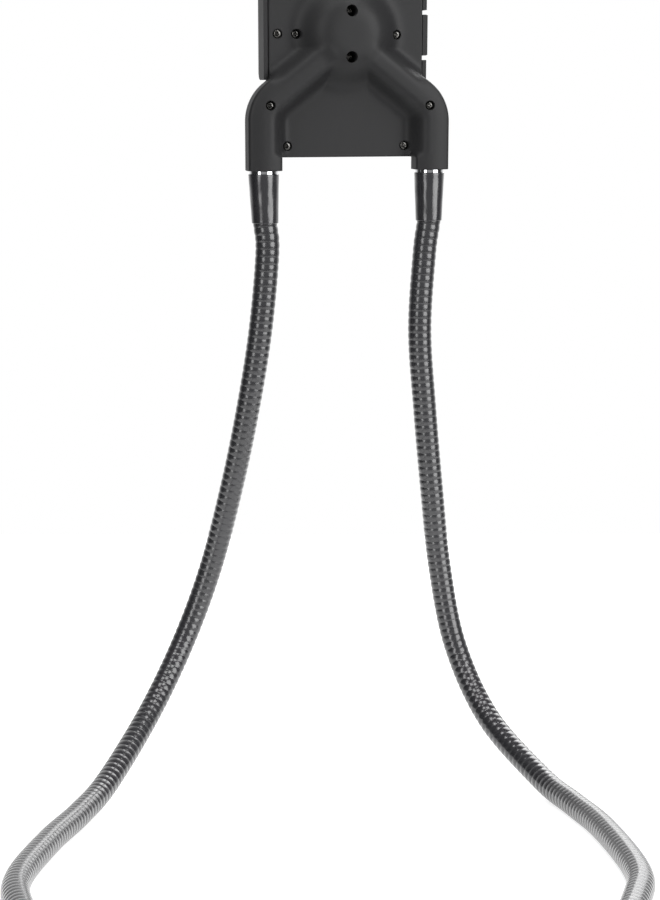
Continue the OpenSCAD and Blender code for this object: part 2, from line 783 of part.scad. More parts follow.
// The hose's route: straight through a sleeve, down its arm, round the loop and up again
function sleeve_points(s) = [for (t = [0, 0.5, 1])
    head_point([s * socket_x, part_y, lerp(hose_top_z, mouth_z, t)])];
left_mouth = head_point([-socket_x, part_y, mouth_z]);
right_mouth = head_point([socket_x, part_y, mouth_z]);
left_turn = [-loop_w / 2, left_turn_y, lie_z];
right_turn = [loop_w / 2, right_turn_y, lie_z];

function arm_points(mouth, turn, shares) = [for (q = shares)
    [lerp(mouth.x, turn.x, q[0]), lerp(turn.y, mouth.y, q[1]), lerp(turn.z, mouth.z, q[2])]];

// A point of the loop's front: the two sides are joined at their mean in the middle
function front_point(turn, q) = [turn.x * q[0],
    lerp((left_turn.y + right_turn.y) / 2, turn.y, q[0]) - loop_front * q[1], lie_z];

left_half = concat(sleeve_points(-1), arm_points(left_mouth, left_turn, left_arm_shares),
    [left_turn], [for (q = front_shares) front_point(left_turn, q)]);
right_half = concat(sleeve_points(1), arm_points(right_mouth, right_turn, right_arm_shares),
    [right_turn], [for (i = [0:len(front_shares) - 2]) front_point(right_turn, front_shares[i])]);
route = concat(left_half, [for (i = [len(right_half) - 1:-1:0]) right_half[i]]);

// A smooth curve through the route's points, and its length at each sample
function through(a, b, c, d, t) = (2 * b + (c - a) * t + (2 * a - 5 * b + 4 * c - d) * t * t
    + (3 * b - a - 3 * c + d) * t * t * t) / 2;
last = len(route) - 1;
curve = [for (i = [0:last - 1]) for (k = [0:samples - (i < last - 1 ? 1 : 0)])
    through(i > 0 ? route[i - 1] : 2 * route[0] - route[1], route[i], route[i + 1],
        i < last - 1 ? route[i + 2] : 2 * route[last] - route[last - 1], k / samples)];
run = [for (i = 0, s = 0; i < len(curve);
    s = s + (i + 1 < len(curve) ? norm(curve[i + 1] - curve[i]) : 0), i = i + 1) s];
hose_l = run[len(run) - 1];
x_table = [for (i = [0:len(run) - 1]) [run[i], curve[i].x]];
y_table = [for (i = [0:len(run) - 1]) [run[i], curve[i].y]];
z_table = [for (i = [0:len(run) - 1]) [run[i], curve[i].z]];
function at_run(s) = [lookup(s, x_table), lookup(s, y_table), lookup(s, z_table)];

// Rings of the hose: two to a rib, with their middle, their direction and their up side
ring_last = 2 * rib_count;
ring_gap = hose_l / ring_last;
middles = [for (i = [0:ring_last]) at_run(i * ring_gap)];
ways = [for (i = [0:ring_last])
    unit(at_run(min(i + 1, ring_last) * ring_gap) - at_run(max(i - 1, 0) * ring_gap))];
function settle(up, way) = unit(up - (up * way) * way);
forward_ups = [for (i = rib_count, up = [0, 0, 1]; i <= ring_last;
    i = i + 1, up = i <= ring_last ? settle(up, ways[i]) : up) up];
back_ups = [for (i = rib_count, up = [0, 0, 1]; i >= 0;
    i = i - 1, up = i >= 0 ? settle(up, ways[i]) : up) up];
ups = concat([for (i = [rib_count:-1:1]) back_ups[i]], forward_ups);
echo(hose_length = hose_l, rib_pitch = 2 * ring_gap);

// Ring i as points at radius r, cut flat at the table
function ring(i, r) = [for (j = [0:sides - 1])
    let (a = 360 * (j + 0.5) / sides, up = ups[i], side = cross(ways[i], up),
        p = middles[i] + r / cos(180 / sides) * (up * cos(a) + side * sin(a)))
    [p.x, p.y, max(p.z, 0)]];

// Radius of the hose at ring i: bare inside the sleeves, ribbed elsewhere
function hose_r(i) = (min(i, ring_last - i) - 1) * ring_gap < sleeve_l ? bare_d / 2
    : hose_d / 2 - (i % 2 == 0 ? rib_depth : 0);

// A stretch of ribbed hose with its bore, between two rings
module hose(from_i, to_i) {
    n = sides;
    outer = to_i - from_i;
    inner = outer / bore_step;
    base = (outer + 1) * n;
    points = concat(
        [for (i = [0:outer]) each ring(from_i + i, hose_r(from_i + i))],
        [for (i = [0:inner]) each ring(from_i + i * bore_step, bore_d / 2)]);
    walls = [for (i = [0:outer - 1]) for (j = [0:n - 1]) let (a = i * n, k = (j + 1) % n)
        each [[a + j, a + k, a + n + j], [a + k, a + n + k, a + n + j]]];
    bores = [for (i = [0:inner - 1]) for (j = [0:n - 1]) let (a = base + i * n, k = (j + 1) % n)
        each [[a + j, a + n + j, a + k], [a + k, a + n + j, a + n + k]]];
    o = outer * n;
    p = base + inner * n;
    ends = [for (j = [0:n - 1]) let (k = (j + 1) % n)
        each [[j, base + j, k], [k, base + j, base + k], [o + j, o + k, p + j], [o + k, p + k, p + j]]];
    polyhedron(points, concat(walls, bores, ends));
}

// A stretch of the soft metal core, shorter than its hose by a gap at each end
module core(from_i, to_i) {
    steps = [for (i = [from_i:bore_step:to_i]) i];
    points = [for (i = steps) each ring(i, bore_d / 2 - core_gap)];
    polyhedron(points, tube_faces(len(steps), sides));
}

// Rings at which the hose is cut into stretches, on the left and on the right
left_cuts = [0, 2 * upper_ribs, 2 * (upper_ribs + arm_ribs), 2 * (upper_ribs + arm_ribs + lower_ribs)];
right_cuts = [for (c = left_cuts) ring_last - c];
// The core starts under the ferrule's shank
core_start = bore_step * ceil(shank_l / (bore_step * ring_gap));

module left_upper_bend() {
    color(gloss_black) hose(left_cuts[0], left_cuts[1]);
}

module left_gooseneck() {
    color(gloss_black) hose(left_cuts[1], left_cuts[2]);
}

module left_lower_bend() {
    color(gloss_black) hose(left_cuts[2], left_cuts[3]);
}

module neck_loop() {
    color(gloss_black) hose(left_cuts[3], right_cuts[3]);
}

module right_lower_bend() {
    color(gloss_black) hose(right_cuts[3], right_cuts[2]);
}

module right_gooseneck() {
    color(gloss_black) hose(right_cuts[2], right_cuts[1]);
}

module right_upper_bend() {
    color(gloss_black) hose(right_cuts[1], right_cuts[0]);
}

module left_upper_core() {
    color(alloy) core(core_start, left_cuts[1]);
}

module left_core() {
    color(alloy) core(left_cuts[1], left_cuts[2]);
}

module left_lower_core() {
    color(alloy) core(left_cuts[2], left_cuts[3]);
}

module loop_core() {
    color(alloy) core(left_cuts[3], right_cuts[3]);
}

module right_lower_core() {
    color(alloy) core(right_cuts[3], right_cuts[2]);
}

module right_core() {
    color(alloy) core(right_cuts[2], right_cuts[1]);
}

module right_upper_core() {
    color(alloy) core(right_cuts[1], ring_last - core_start);
}

back_cover();
front_cover();
front_pad();
left_elbow_cap();
right_elbow_cap();
left_jaw();
left_jaw_pad();
right_jaw();
right_jaw_pad();
guide_rods();
rod_nuts();
clamp_springs();
hub_screws();
cover_screws();
elbow_screws();
jaw_screw();
left_ferrule();
right_ferrule();
left_sleeve();
right_sleeve();
left_upper_bend();
right_upper_bend();
left_gooseneck();
right_gooseneck();
left_lower_bend();
right_lower_bend();
neck_loop();
left_upper_core();
right_upper_core();
left_core();
right_core();
left_lower_core();
right_lower_core();
loop_core();
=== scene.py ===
# %% [markdown]
# # A neck and desk stand for a phone
#
# Two ribbed goosenecks rise from one loop that lies on the table. They carry a flat head with a
# spring clamp for the phone. We look at the back of the head, as the photograph does.
#
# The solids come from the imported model, in metres and already in place. This script dresses
# them: it makes smooth skins, ribs and screws where the solids are plain, and gives every
# surface its material. Nothing is moved, so each new piece is built where its solid is.

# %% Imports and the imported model
import json
import math

import bmesh
import bpy
import numpy as np
from mathutils import Matrix, Vector, noise
from mathutils.geometry import delaunay_2d_cdt


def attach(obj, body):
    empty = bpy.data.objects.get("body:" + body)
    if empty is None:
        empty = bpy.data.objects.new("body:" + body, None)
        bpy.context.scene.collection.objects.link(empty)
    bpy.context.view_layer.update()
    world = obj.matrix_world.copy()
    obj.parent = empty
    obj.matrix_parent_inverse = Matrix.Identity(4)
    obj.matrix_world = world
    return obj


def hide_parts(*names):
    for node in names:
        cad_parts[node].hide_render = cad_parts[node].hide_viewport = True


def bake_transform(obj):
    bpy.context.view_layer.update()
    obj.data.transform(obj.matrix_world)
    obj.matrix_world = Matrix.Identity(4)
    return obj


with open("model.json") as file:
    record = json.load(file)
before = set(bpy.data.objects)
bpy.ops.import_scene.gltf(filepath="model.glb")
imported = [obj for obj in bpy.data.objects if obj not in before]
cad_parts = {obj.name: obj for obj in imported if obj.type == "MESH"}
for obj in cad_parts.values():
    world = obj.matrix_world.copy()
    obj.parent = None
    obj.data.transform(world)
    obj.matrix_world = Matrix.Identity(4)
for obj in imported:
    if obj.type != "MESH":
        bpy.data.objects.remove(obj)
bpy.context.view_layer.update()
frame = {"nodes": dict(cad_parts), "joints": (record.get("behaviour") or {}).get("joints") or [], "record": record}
scene = bpy.context.scene
MM = 0.001
print("solids in the model:", len(frame["nodes"]))

# %% [markdown]
# ## Camera
#
# The photograph was taken from a little over the table, with a long lens held almost level.
# The place, the tilt and the lens were worked out from the round hoses, the flat head and the
# table, so the stand falls where the photograph shows it.

# %% Camera
VIEW_BACK = 758 * MM
VIEW_HEIGHT = 237 * MM
VIEW_DROP = math.radians(4.2)
VIEW_LENS = 71.9
VIEW_SENSOR = 36


def new_object(name, data):
    """An object in the scene, made from its data."""
    thing = bpy.data.objects.new(name, data)
    scene.collection.objects.link(thing)
    return thing


camera = new_object("camera", bpy.data.cameras.new("camera"))
camera.location = (0, -VIEW_BACK, VIEW_HEIGHT)
camera.rotation_euler = (math.pi / 2 - VIEW_DROP, 0, 0)
camera.data.sensor_fit = "VERTICAL"
camera.data.sensor_height = VIEW_SENSOR
camera.data.lens = VIEW_LENS
scene.camera = camera
scene.view_settings.view_transform = "Standard"
print("camera:", round(VIEW_BACK / MM), "mm back and", round(VIEW_HEIGHT / MM), "mm high")

# %% [markdown]
# ## The head's own axes
#
# The head leans and turns a little. Its parts are far easier to draw in its own axes: x to the
# right, y towards the phone, z up, with the hub at zero. The model tells us those axes: the
# phone's face looks along y and the clamp slides along x.

# %% The head's axes
mounts = {mount["name"]: mount for mount in frame["record"]["mounts"]}
slide = next(joint for joint in frame["joints"] if joint["name"] == "jaw_slide")
FACE_DEPTH = 7.8 * MM

head_y = Vector(mounts["phone_face"]["axis"]).normalized()
head_x = Vector(slide["axis"]).normalized()
head_z = head_x.cross(head_y)
hub = Vector(mounts["phone_face"]["pos_m"]) - FACE_DEPTH * head_y
HEAD = Matrix.Translation(hub) @ Matrix((head_x, head_y, head_z)).transposed().to_4x4()
print("hub at", [round(v / MM, 1) for v in hub], "mm")

# %% [markdown]
# ## Helpers for nodes and colours
#
# Node trees, for materials and for geometry, are made of many small nodes. One function adds a
# node, sets it up and links it. A colour is written as a designer writes it, as an sRGB code,
# and one function turns it into the linear values that light is reckoned in. A Mix node keeps a
# pair of inputs for each type of value, and only their numbers tell them apart.


# %% Nodes and colours
MIX_FACTOR = 0
MIX_NUMBERS = (2, 3)
MIX_COLOURS = (6, 7)
MIX_COLOUR_OUT = 2


def add(tree, kind, inputs=None, **settings):
    """Adds a node. An input takes a plain value or the socket that feeds it."""
    node = tree.nodes.new(kind)
    for name, value in settings.items():
        setattr(node, name, value)
    for key, value in (inputs or {}).items():
        if isinstance(value, bpy.types.NodeSocket):
            tree.links.new(value, node.inputs[key])
        else:
            node.inputs[key].default_value = value
    return node


def paint(code):
    """An sRGB colour code as linear red, green, blue and alpha."""
    parts = [int(code[i:i + 2], 16) / 255 for i in (1, 3, 5)]
    linear = [p / 12.92 if p <= 0.04045 else ((p + 0.055) / 1.055) ** 2.4 for p in parts]
    return (*linear, 1)


def new_material(name):
    """An empty material with its tree and its main shader."""
    material = bpy.data.materials.new(name)
    material.use_nodes = True
    tree = material.node_tree
    tree.nodes.clear()
    shader = add(tree, "ShaderNodeBsdfPrincipled")
    add(tree, "ShaderNodeOutputMaterial", {"Surface": shader.outputs["BSDF"]})
    return material, tree, shader


# %% [markdown]
# ## Materials: what they share
#
# Nearly every surface here has three things: a tone that drifts a little over centimetres, a
# gloss that varies with it, and a fine grain that catches the light. All three read the
# object's own coordinates, in metres, so each pattern has a real size: the cloud is that of the
# drift, and the relief is the height of the grain.


# %% Shared build-up of a surface
DRIFT_DETAIL = 3
GRAIN_DETAIL = 2


def surface(name, tones, rough, cloud, grain, relief, constants):
    """A material with two tones, a range of roughness, a grain and some constant inputs."""
    material, tree, shader = new_material(name)
    place = add(tree, "ShaderNodeTexCoord").outputs["Object"]
    drift = add(tree, "ShaderNodeTexNoise", {
        "Vector": place, "Scale": 1 / cloud, "Detail": DRIFT_DETAIL})
    fine = add(tree, "ShaderNodeTexNoise", {
        "Vector": place, "Scale": 1 / grain, "Detail": GRAIN_DETAIL})
    tone = add(tree, "ShaderNodeMix", {
        MIX_FACTOR: drift.outputs["Fac"], MIX_COLOURS[0]: paint(tones[0]),
        MIX_COLOURS[1]: paint(tones[1])}, data_type="RGBA")
    gloss = add(tree, "ShaderNodeMapRange", {
        "Value": drift.outputs["Fac"], "To Min": rough[0], "To Max": rough[1]})
    bump = add(tree, "ShaderNodeBump", {
        "Height": fine.outputs["Fac"], "Strength": 1, "Distance": relief})
    tree.links.new(tone.outputs[MIX_COLOUR_OUT], shader.inputs["Base Color"])
    tree.links.new(gloss.outputs["Result"], shader.inputs["Roughness"])
    tree.links.new(bump.outputs["Normal"], shader.inputs["Normal"])
    for key, value in constants.items():
        shader.inputs[key].default_value = value
    print(name, "has tones", *tones, "and roughness", *rough)
    return material


# %% [markdown]
# ## Materials of the head
#
# The covers and jaws are ABS, moulded in a spark-eroded tool. That leaves a fine even grain,
# which the eye sees as a soft charcoal with a broad, dim shine. The grain's pits trap part of
# the mirror light, so the index of refraction is set well under the 1.5 of smooth ABS. The real
# grain is about 0.1 mm. It is drawn at 0.4 mm so that it shows.

# %% Spark-eroded ABS
abs_plastic = surface(
    "spark_eroded_abs", ("#202021", "#252526"), (0.46, 0.56),
    30 * MM, 0.4 * MM, 0.008 * MM, {"IOR": 1.34})

# %% [markdown]
# The pads are silicone rubber. It is darker and duller than the ABS, and a faint skin of oil
# gives it a soft sheen at its edges.

# %% Silicone rubber
rubber = surface(
    "silicone_rubber", ("#1e1e1f", "#242424"), (0.68, 0.8), 15 * MM, 0.5 * MM, 0.015 * MM,
    {"IOR": 1.42, "Sheen Weight": 0.15, "Sheen Roughness": 0.4})

# %% [markdown]
# The screws are steel with a black nickel coat, tumbled in a barrel. Small dents from other
# screws break what they mirror into glints on a nearly black head. The end fittings are turned
# brass under polished chrome, which mirrors the white wall and the dark camera side as
# hard-edged patches.

# %% Black nickel, and chrome
nickel = surface(
    "black_nickel_steel", ("#4e4d4b", "#636260"), (0.1, 0.18),
    2 * MM, 0.35 * MM, 0.006 * MM, {"Metallic": 1})
chrome = surface(
    "polished_chrome", ("#dcdde0", "#e6e6e8"), (0.04, 0.09),
    6 * MM, 0.8 * MM, 0.001 * MM, {"Metallic": 1})

# %% [markdown]
# ## Materials of the goosenecks
#
# The hose is soft PVC, extruded over a ribbed spring. It comes off the tool glossy, and slightly
# uneven, as thick paint does. The sleeves are shrink tube: PVC again, drawn tight by heat, with
# slow waves in its shine.

# %% Glossy PVC
hose_pvc = surface(
    "glossy_pvc", ("#27272a", "#2d2d2f"), (0.22, 0.3), 20 * MM, 1.1 * MM, 0.01 * MM,
    {"IOR": 1.54, "Coat Weight": 0.6, "Coat Roughness": 0.16})
sleeve_pvc = surface(
    "heat_shrunk_pvc", ("#27272a", "#2d2d2f"), (0.2, 0.28), 12 * MM, 2.5 * MM, 0.01 * MM,
    {"IOR": 1.54, "Coat Weight": 0.7, "Coat Roughness": 0.14})

# %% [markdown]
# ## The table
#
# The picture was made on a white table that runs on into a white wall. Here the table is a
# sheet of paper. It takes light and shadow as paper does, and where the camera or a mirror looks
# at it, plain white is added. The sheet ends a hand's breadth before the loop: a longer one
# would show as a grey bar in every groove between the ribs.

# %% Floor
FLOOR_SIDE = 0.6
FLOOR_FRONT = -0.26
FLOOR_BACK = 1.2
FLOOR_GLOW = 0.8
FLOOR_PAPER = "#c4c4c4"
FLOOR_ROUGH = 0.9


def is_ray(tree, *kinds):
    """A socket that gives 1 to a ray of one of these kinds, and 0 to any other."""
    path = add(tree, "ShaderNodeLightPath").outputs
    found = path[kinds[0]]
    for kind in kinds[1:]:
        found = add(tree, "ShaderNodeMath", {0: found, 1: path[kind]}, use_clamp=True).outputs[0]
    return found


floor_paper, floor_tree, floor_shader = new_material("white_paper_sweep")
floor_shader.inputs["Base Color"].default_value = paint(FLOOR_PAPER)
floor_shader.inputs["Roughness"].default_value = FLOOR_ROUGH
seen = is_ray(floor_tree, "Is Camera Ray", "Is Glossy Ray", "Is Transmission Ray")
glow_level = add(floor_tree, "ShaderNodeMath", {0: seen, 1: FLOOR_GLOW}, operation="MULTIPLY")
glow = add(floor_tree, "ShaderNodeEmission", {"Strength": glow_level.outputs[0]})
both = add(floor_tree, "ShaderNodeAddShader", {0: floor_shader.outputs[0], 1: glow.outputs[0]})
out = next(node for node in floor_tree.nodes if node.type == "OUTPUT_MATERIAL")
floor_tree.links.new(both.outputs[0], out.inputs["Surface"])

floor_mesh = bpy.data.meshes.new("floor")
floor_mesh.from_pydata([
    (-FLOOR_SIDE, FLOOR_FRONT, 0), (FLOOR_SIDE, FLOOR_FRONT, 0),
    (FLOOR_SIDE, FLOOR_BACK, 0), (-FLOOR_SIDE, FLOOR_BACK, 0)], [], [(0, 1, 2, 3)])
floor_mesh.materials.append(floor_paper)
floor = new_object("floor", floor_mesh)
print("table:", round(2 * FLOOR_SIDE, 2), "by", round(FLOOR_BACK - FLOOR_FRONT, 2), "m")

# %% [markdown]
# ## The room around it
#
# The world stands for the room, and gives each kind of ray its own answer. The camera sees
# plain white. A mirror sees a white wall behind the stand, a dark camera side, a dim ceiling and
# a faint glow straight behind the camera. That keeps the glossy tubes nearly black between their
# rows of highlights. Soft light comes mostly from the white wall. Each level is a smooth ramp
# over one axis of the ray's direction, which runs from -1 to 1.

# %% World
AMBIENT = 0.15
CAMERA_SIDE = 0.03
FRONT_FILL = 0.28
CEILING = 0.1
RAMPS = {
    "wall": ("Y", (0.15, 0.85), (CAMERA_SIDE, 1)),
    "ceiling": ("Z", (0.3, 0.7), (0, CEILING)),
    "front": ("Y", (-0.7, -1), (0, FRONT_FILL)),
    "soft": ("Y", (0, 0.9), (AMBIENT, 1))}

world = bpy.data.worlds.new("studio")
scene.world = world
world.use_nodes = True
sky = world.node_tree
sky.nodes.clear()
way = add(sky, "ShaderNodeSeparateXYZ", {0: add(sky, "ShaderNodeTexCoord").outputs["Generated"]})
ramps = {}
for name, (axis, span, levels) in RAMPS.items():
    ramp = add(sky, "ShaderNodeMapRange", {
        "Value": way.outputs[axis], "From Min": span[0], "From Max": span[1],
        "To Min": levels[0], "To Max": levels[1]}, interpolation_type="SMOOTHSTEP")
    ramps[name] = ramp.outputs["Result"]
room = add(sky, "ShaderNodeMath", {0: ramps["wall"], 1: ramps["ceiling"]}, operation="MAXIMUM")
room = add(sky, "ShaderNodeMath", {0: room.outputs[0], 1: ramps["front"]})
level = add(sky, "ShaderNodeMix", {
    MIX_FACTOR: is_ray(sky, "Is Glossy Ray", "Is Transmission Ray"),
    MIX_NUMBERS[0]: ramps["soft"], MIX_NUMBERS[1]: room.outputs[0]}, data_type="FLOAT")
level = add(sky, "ShaderNodeMix", {
    MIX_FACTOR: is_ray(sky, "Is Camera Ray"),
    MIX_NUMBERS[0]: level.outputs[0], MIX_NUMBERS[1]: 1.0}, data_type="FLOAT")
plain = add(sky, "ShaderNodeBackground", {"Color": (1, 1, 1, 1), "Strength": level.outputs[0]})
add(sky, "ShaderNodeOutputWorld", {"Surface": plain.outputs[0]})
print("the world has", len(RAMPS), "ramps")

# %% [markdown]
# ## Soft boxes
#
# Two tall soft boxes beside the camera draw the two rows of highlights on each tube, and light
# the head's flat back. One box behind the stand lights the phone's side. Two small boxes high up
# give the struts and the dome their light upper flanks. Each box is given by how bright its
# face is, so a larger one looks no brighter in a mirror.

# %% Soft boxes
BOX_AWAY = 2.4
AIM = Vector((0, 0.08, 0.22))
# Degrees right of the camera's side and over the table, width and height in metres, brightness.
SOFT_BOXES = {
    "right_soft_box": (53, 10, 1.75, 2.2, 5),
    "left_soft_box": (-34, 10, 0.85, 2.2, 4.2),
    "back_soft_box": (155, 35, 1.6, 1.6, 3.5),
    "high_right_soft_box": (46, 60, 1.2, 0.9, 6),
    "high_left_soft_box": (-30, 62, 0.9, 0.9, 6)}

for name, (turn, lift, wide, tall, brightness) in SOFT_BOXES.items():
    turn, lift = math.radians(turn), math.radians(lift)
    flat = math.cos(lift)
    way = Vector((math.sin(turn) * flat, -math.cos(turn) * flat, math.sin(lift)))
    lamp = bpy.data.lights.new(name, "AREA")
    lamp.shape = "RECTANGLE"
    lamp.size = wide
    lamp.size_y = tall
    lamp.energy = brightness * math.pi * wide * tall
    box = new_object(name, lamp)
    box.location = AIM + BOX_AWAY * way
    box.rotation_euler = (-way).to_track_quat("-Z", "Y").to_euler()
    box.visible_camera = False
    print(name, "gives", round(lamp.energy), "W")

# %% [markdown]
# ## Showing a piece
#
# Each piece gets a mesh and a material. It stands for one or more solids, which are then hidden. Faces are shaded
# smooth, and edges that turn by more than 35 degrees stay crisp.

# %% A piece in the place of its solids
CRISP = math.radians(35)


def show(name, mesh, material, slot, *nodes):
    """Links a mesh as a piece that stands for some solids."""
    mesh.materials.clear()
    mesh.materials.append(material)
    mesh.shade_smooth()
    mesh.set_sharp_from_angle(angle=CRISP)
    piece = new_object(name, mesh)
    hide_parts(*nodes)
    return piece


# %% [markdown]
# ## The route of the hose
#
# One hose runs from the left sleeve down to the table, round the loop and up to the right sleeve. Its middle line
# passes through listed points: each is a share of the way from a sleeve's mouth to the loop's widest place, the
# same shares as in the solid. A Catmull-Rom curve joins them, because it passes through every point and needs no
# handles.

# %% Route of the hose, in millimetres
SOCKET_X = 42.5
PART_Y = -2.75
SLEEVE_TOP = -67.35
SLEEVE_LENGTH = 24
SLEEVE_LEAN = {-1: 0.6, 1: 0}
HOSE_D = 12
PRESSED = 0.5
LIE_Z = HOSE_D / 2 - PRESSED
LOOP_FRONT = 161
TURNS = {-1: Vector((-129, -27, LIE_Z)), 1: Vector((129, -17, LIE_Z))}
ARM_SHARES = {
    -1: [(-0.01, 1.013, 0.947), (0.03, 1.051, 0.807), (0.101, 1.103, 0.663),
         (0.194, 1.168, 0.516), (0.312, 1.229, 0.365), (0.452, 1.211, 0.232),
         (0.615, 1.063, 0.113), (0.783, 0.781, 0.025), (0.876, 0.572, 0.002), (0.953, 0.32, 0)],
    1: [(-0.025, 1.011, 0.942), (-0.05, 1.04, 0.803), (-0.012, 1.077, 0.66),
        (0.039, 1.115, 0.511), (0.1, 1.147, 0.358), (0.204, 1.127, 0.212),
        (0.404, 1.005, 0.091), (0.696, 0.78, 0.014), (0.842, 0.589, 0), (0.943, 0.352, 0)]}
FRONT_SHARES = [(0.955, 0.22), (0.82, 0.5), (0.52, 0.82), (0, 1)]
STEPS = 24


def mix(a, b, t):
    """The value that lies at the share t of the way from a to b."""
    return a + (b - a) * t


def head_place(x, y, z):
    """A point of the head's axes in the stand's, both in millimetres."""
    return (HEAD @ (Vector((x, y, z)) * MM)) / MM


def half_route(side):
    """The route from one sleeve's top to the loop's widest place and on to its front."""
    turn = TURNS[side]
    points = [head_place(side * SOCKET_X + SLEEVE_LEAN[side] * t, PART_Y,
                         SLEEVE_TOP - SLEEVE_LENGTH * t) for t in (0, 0.5, 1)]
    mouth = points[-1]
    for out, back, up in ARM_SHARES[side]:
        points.append(Vector((
            mix(mouth.x, turn.x, out), mix(turn.y, mouth.y, back), mix(turn.z, mouth.z, up))))
    points.append(turn)
    middle_y = (TURNS[-1].y + TURNS[1].y) / 2
    for out, reach in FRONT_SHARES:
        y = mix(middle_y, turn.y, out) - LOOP_FRONT * reach
        points.append(Vector((turn.x * out, y, LIE_Z)))
    return points


def through(a, b, c, d, t):
    """The Catmull-Rom curve between b and c."""
    return (2 * b + (c - a) * t + (2 * a - 5 * b + 4 * c - d) * t ** 2
            + (3 * b - a - 3 * c + d) * t ** 3) / 2


route = half_route(-1) + half_route(1)[:-1][::-1]
ends = [2 * route[0] - route[1]] + route + [2 * route[-1] - route[-2]]
fine = [through(*ends[i:i + 4], k / STEPS) for i in range(len(route) - 1) for k in range(STEPS)]
middle_line = np.array(fine + [route[-1]])
run = np.concatenate([[0], np.cumsum(np.linalg.norm(np.diff(middle_line, axis=0), axis=1))])
print("hose length:", round(run[-1], 1), "mm")

# %% [markdown]
# ## Geometry nodes for what repeats
#
# The ribs follow a path and the screws repeat, so trees of geometry nodes make both. A tree gets
# named inputs, and an object hands it a curve or some points. Only the plain mesh that comes out
# is kept, so the stand holds no leftovers of how it was made.


# %% Make a tree, and use one
def new_growth(name, inputs, result):
    """A tree of geometry nodes with its named inputs and its result, and the inputs' sockets."""
    tree = bpy.data.node_groups.new(name, "GeometryNodeTree")
    for label, kind in inputs.items():
        tree.interface.new_socket(name=label, in_out="INPUT", socket_type="NodeSocket" + kind)
    tree.interface.new_socket(name=result, in_out="OUTPUT", socket_type="NodeSocketGeometry")
    return tree, add(tree, "NodeGroupInput").outputs


def evaluated_mesh(maker):
    """The plain mesh that an object's modifiers make. The object is removed."""
    bpy.context.view_layer.update()
    graph = bpy.context.evaluated_depsgraph_get()
    mesh = bpy.data.meshes.new_from_object(maker.evaluated_get(graph), depsgraph=graph)
    bpy.data.objects.remove(maker)
    return mesh


def grown(name, start, tree, values):
    """The plain mesh that a tree makes from a curve or a mesh, with inputs set by name."""
    maker = new_object(name, start)
    modifier = maker.modifiers.new(tree.name, "NODES")
    modifier.node_group = tree
    for item in tree.interface.items_tree:
        if item.in_out == "INPUT" and item.name in values:
            modifier[item.identifier] = values[item.name]
    return evaluated_mesh(maker)


# %% [markdown]
# ## Ribs
#
# The tree samples the line finely, reckons a radius at every sample from the length run so far,
# and sweeps a circle of that radius along the line. The absolute value of a sine gives round
# beads with sharp grooves between them. The loop lies half a millimetre low, and its points
# below the table are pressed flat onto it, as the hose's own weight does.

# %% Tree for a ribbed hose
rib_tree, given = new_growth("ribbed_hose", {
    "Line": "Geometry", "Rings": "Int", "Sides": "Int", "Rib pitch": "Float",
    "Crest radius": "Float", "Groove depth": "Float", "Roundness": "Float",
    "Plastic": "Material"}, "Hose")

line = add(rib_tree, "GeometryNodeResampleCurve", {
    "Curve": given["Line"], "Count": given["Rings"]})
bead = add(rib_tree, "GeometryNodeSplineParameter").outputs["Length"]
for sum_kind, other in (("DIVIDE", given["Rib pitch"]), ("MULTIPLY", math.pi), ("SINE", 0.0),
                        ("ABSOLUTE", 0.0), ("POWER", given["Roundness"])):
    bead = add(rib_tree, "ShaderNodeMath", {0: bead, 1: other}, operation=sum_kind).outputs[0]
hollow = add(rib_tree, "ShaderNodeMath", {0: 1.0, 1: bead}, operation="SUBTRACT")
hollow = add(rib_tree, "ShaderNodeMath", {
    0: hollow.outputs[0], 1: given["Groove depth"]}, operation="MULTIPLY")
radius = add(rib_tree, "ShaderNodeMath", {
    0: given["Crest radius"], 1: hollow.outputs[0]}, operation="SUBTRACT")
circle = add(rib_tree, "GeometryNodeCurvePrimitiveCircle", {
    "Resolution": given["Sides"], "Radius": 1.0})
tube = add(rib_tree, "GeometryNodeCurveToMesh", {
    "Curve": line.outputs["Curve"], "Profile Curve": circle.outputs["Curve"],
    "Scale": radius.outputs[0], "Fill Caps": True})
spot = add(rib_tree, "GeometryNodeInputPosition")
spot = add(rib_tree, "ShaderNodeSeparateXYZ", {0: spot.outputs[0]})
lifted = add(rib_tree, "ShaderNodeMath", {0: spot.outputs["Z"], 1: 0.0}, operation="MAXIMUM")
spot = add(rib_tree, "ShaderNodeCombineXYZ", {
    "X": spot.outputs["X"], "Y": spot.outputs["Y"], "Z": lifted.outputs[0]})
pressed = add(rib_tree, "GeometryNodeSetPosition", {
    "Geometry": tube.outputs["Mesh"], "Position": spot.outputs["Vector"]})
real = add(rib_tree, "GeometryNodeRealizeInstances", {0: pressed.outputs["Geometry"]})
coated = add(rib_tree, "GeometryNodeSetMaterial", {
    "Geometry": real.outputs[0], "Material": given["Plastic"]})
add(rib_tree, "NodeGroupOutput", {"Hose": coated.outputs[0]})
print("the tree for the hose has", len(rib_tree.nodes), "nodes")

# %% [markdown]
# ## Three stretches of hose
#
# The whole hose is one tube on the real stand. Here it is cut in a groove half-way up each arm, into two upper
# stretches and a lower one that holds the loop. A piece can blend between two bodies only, so the tube is cut
# in a groove half-way up each arm.

# %% Hose pieces
RIBS = 382
UPPER_RIBS = 38
RINGS_PER_RIB = 10
HOSE_SIDES = 32
GROOVE_DEPTH = 0.25
ROUNDNESS = 0.85
pitch = run[-1] / RIBS


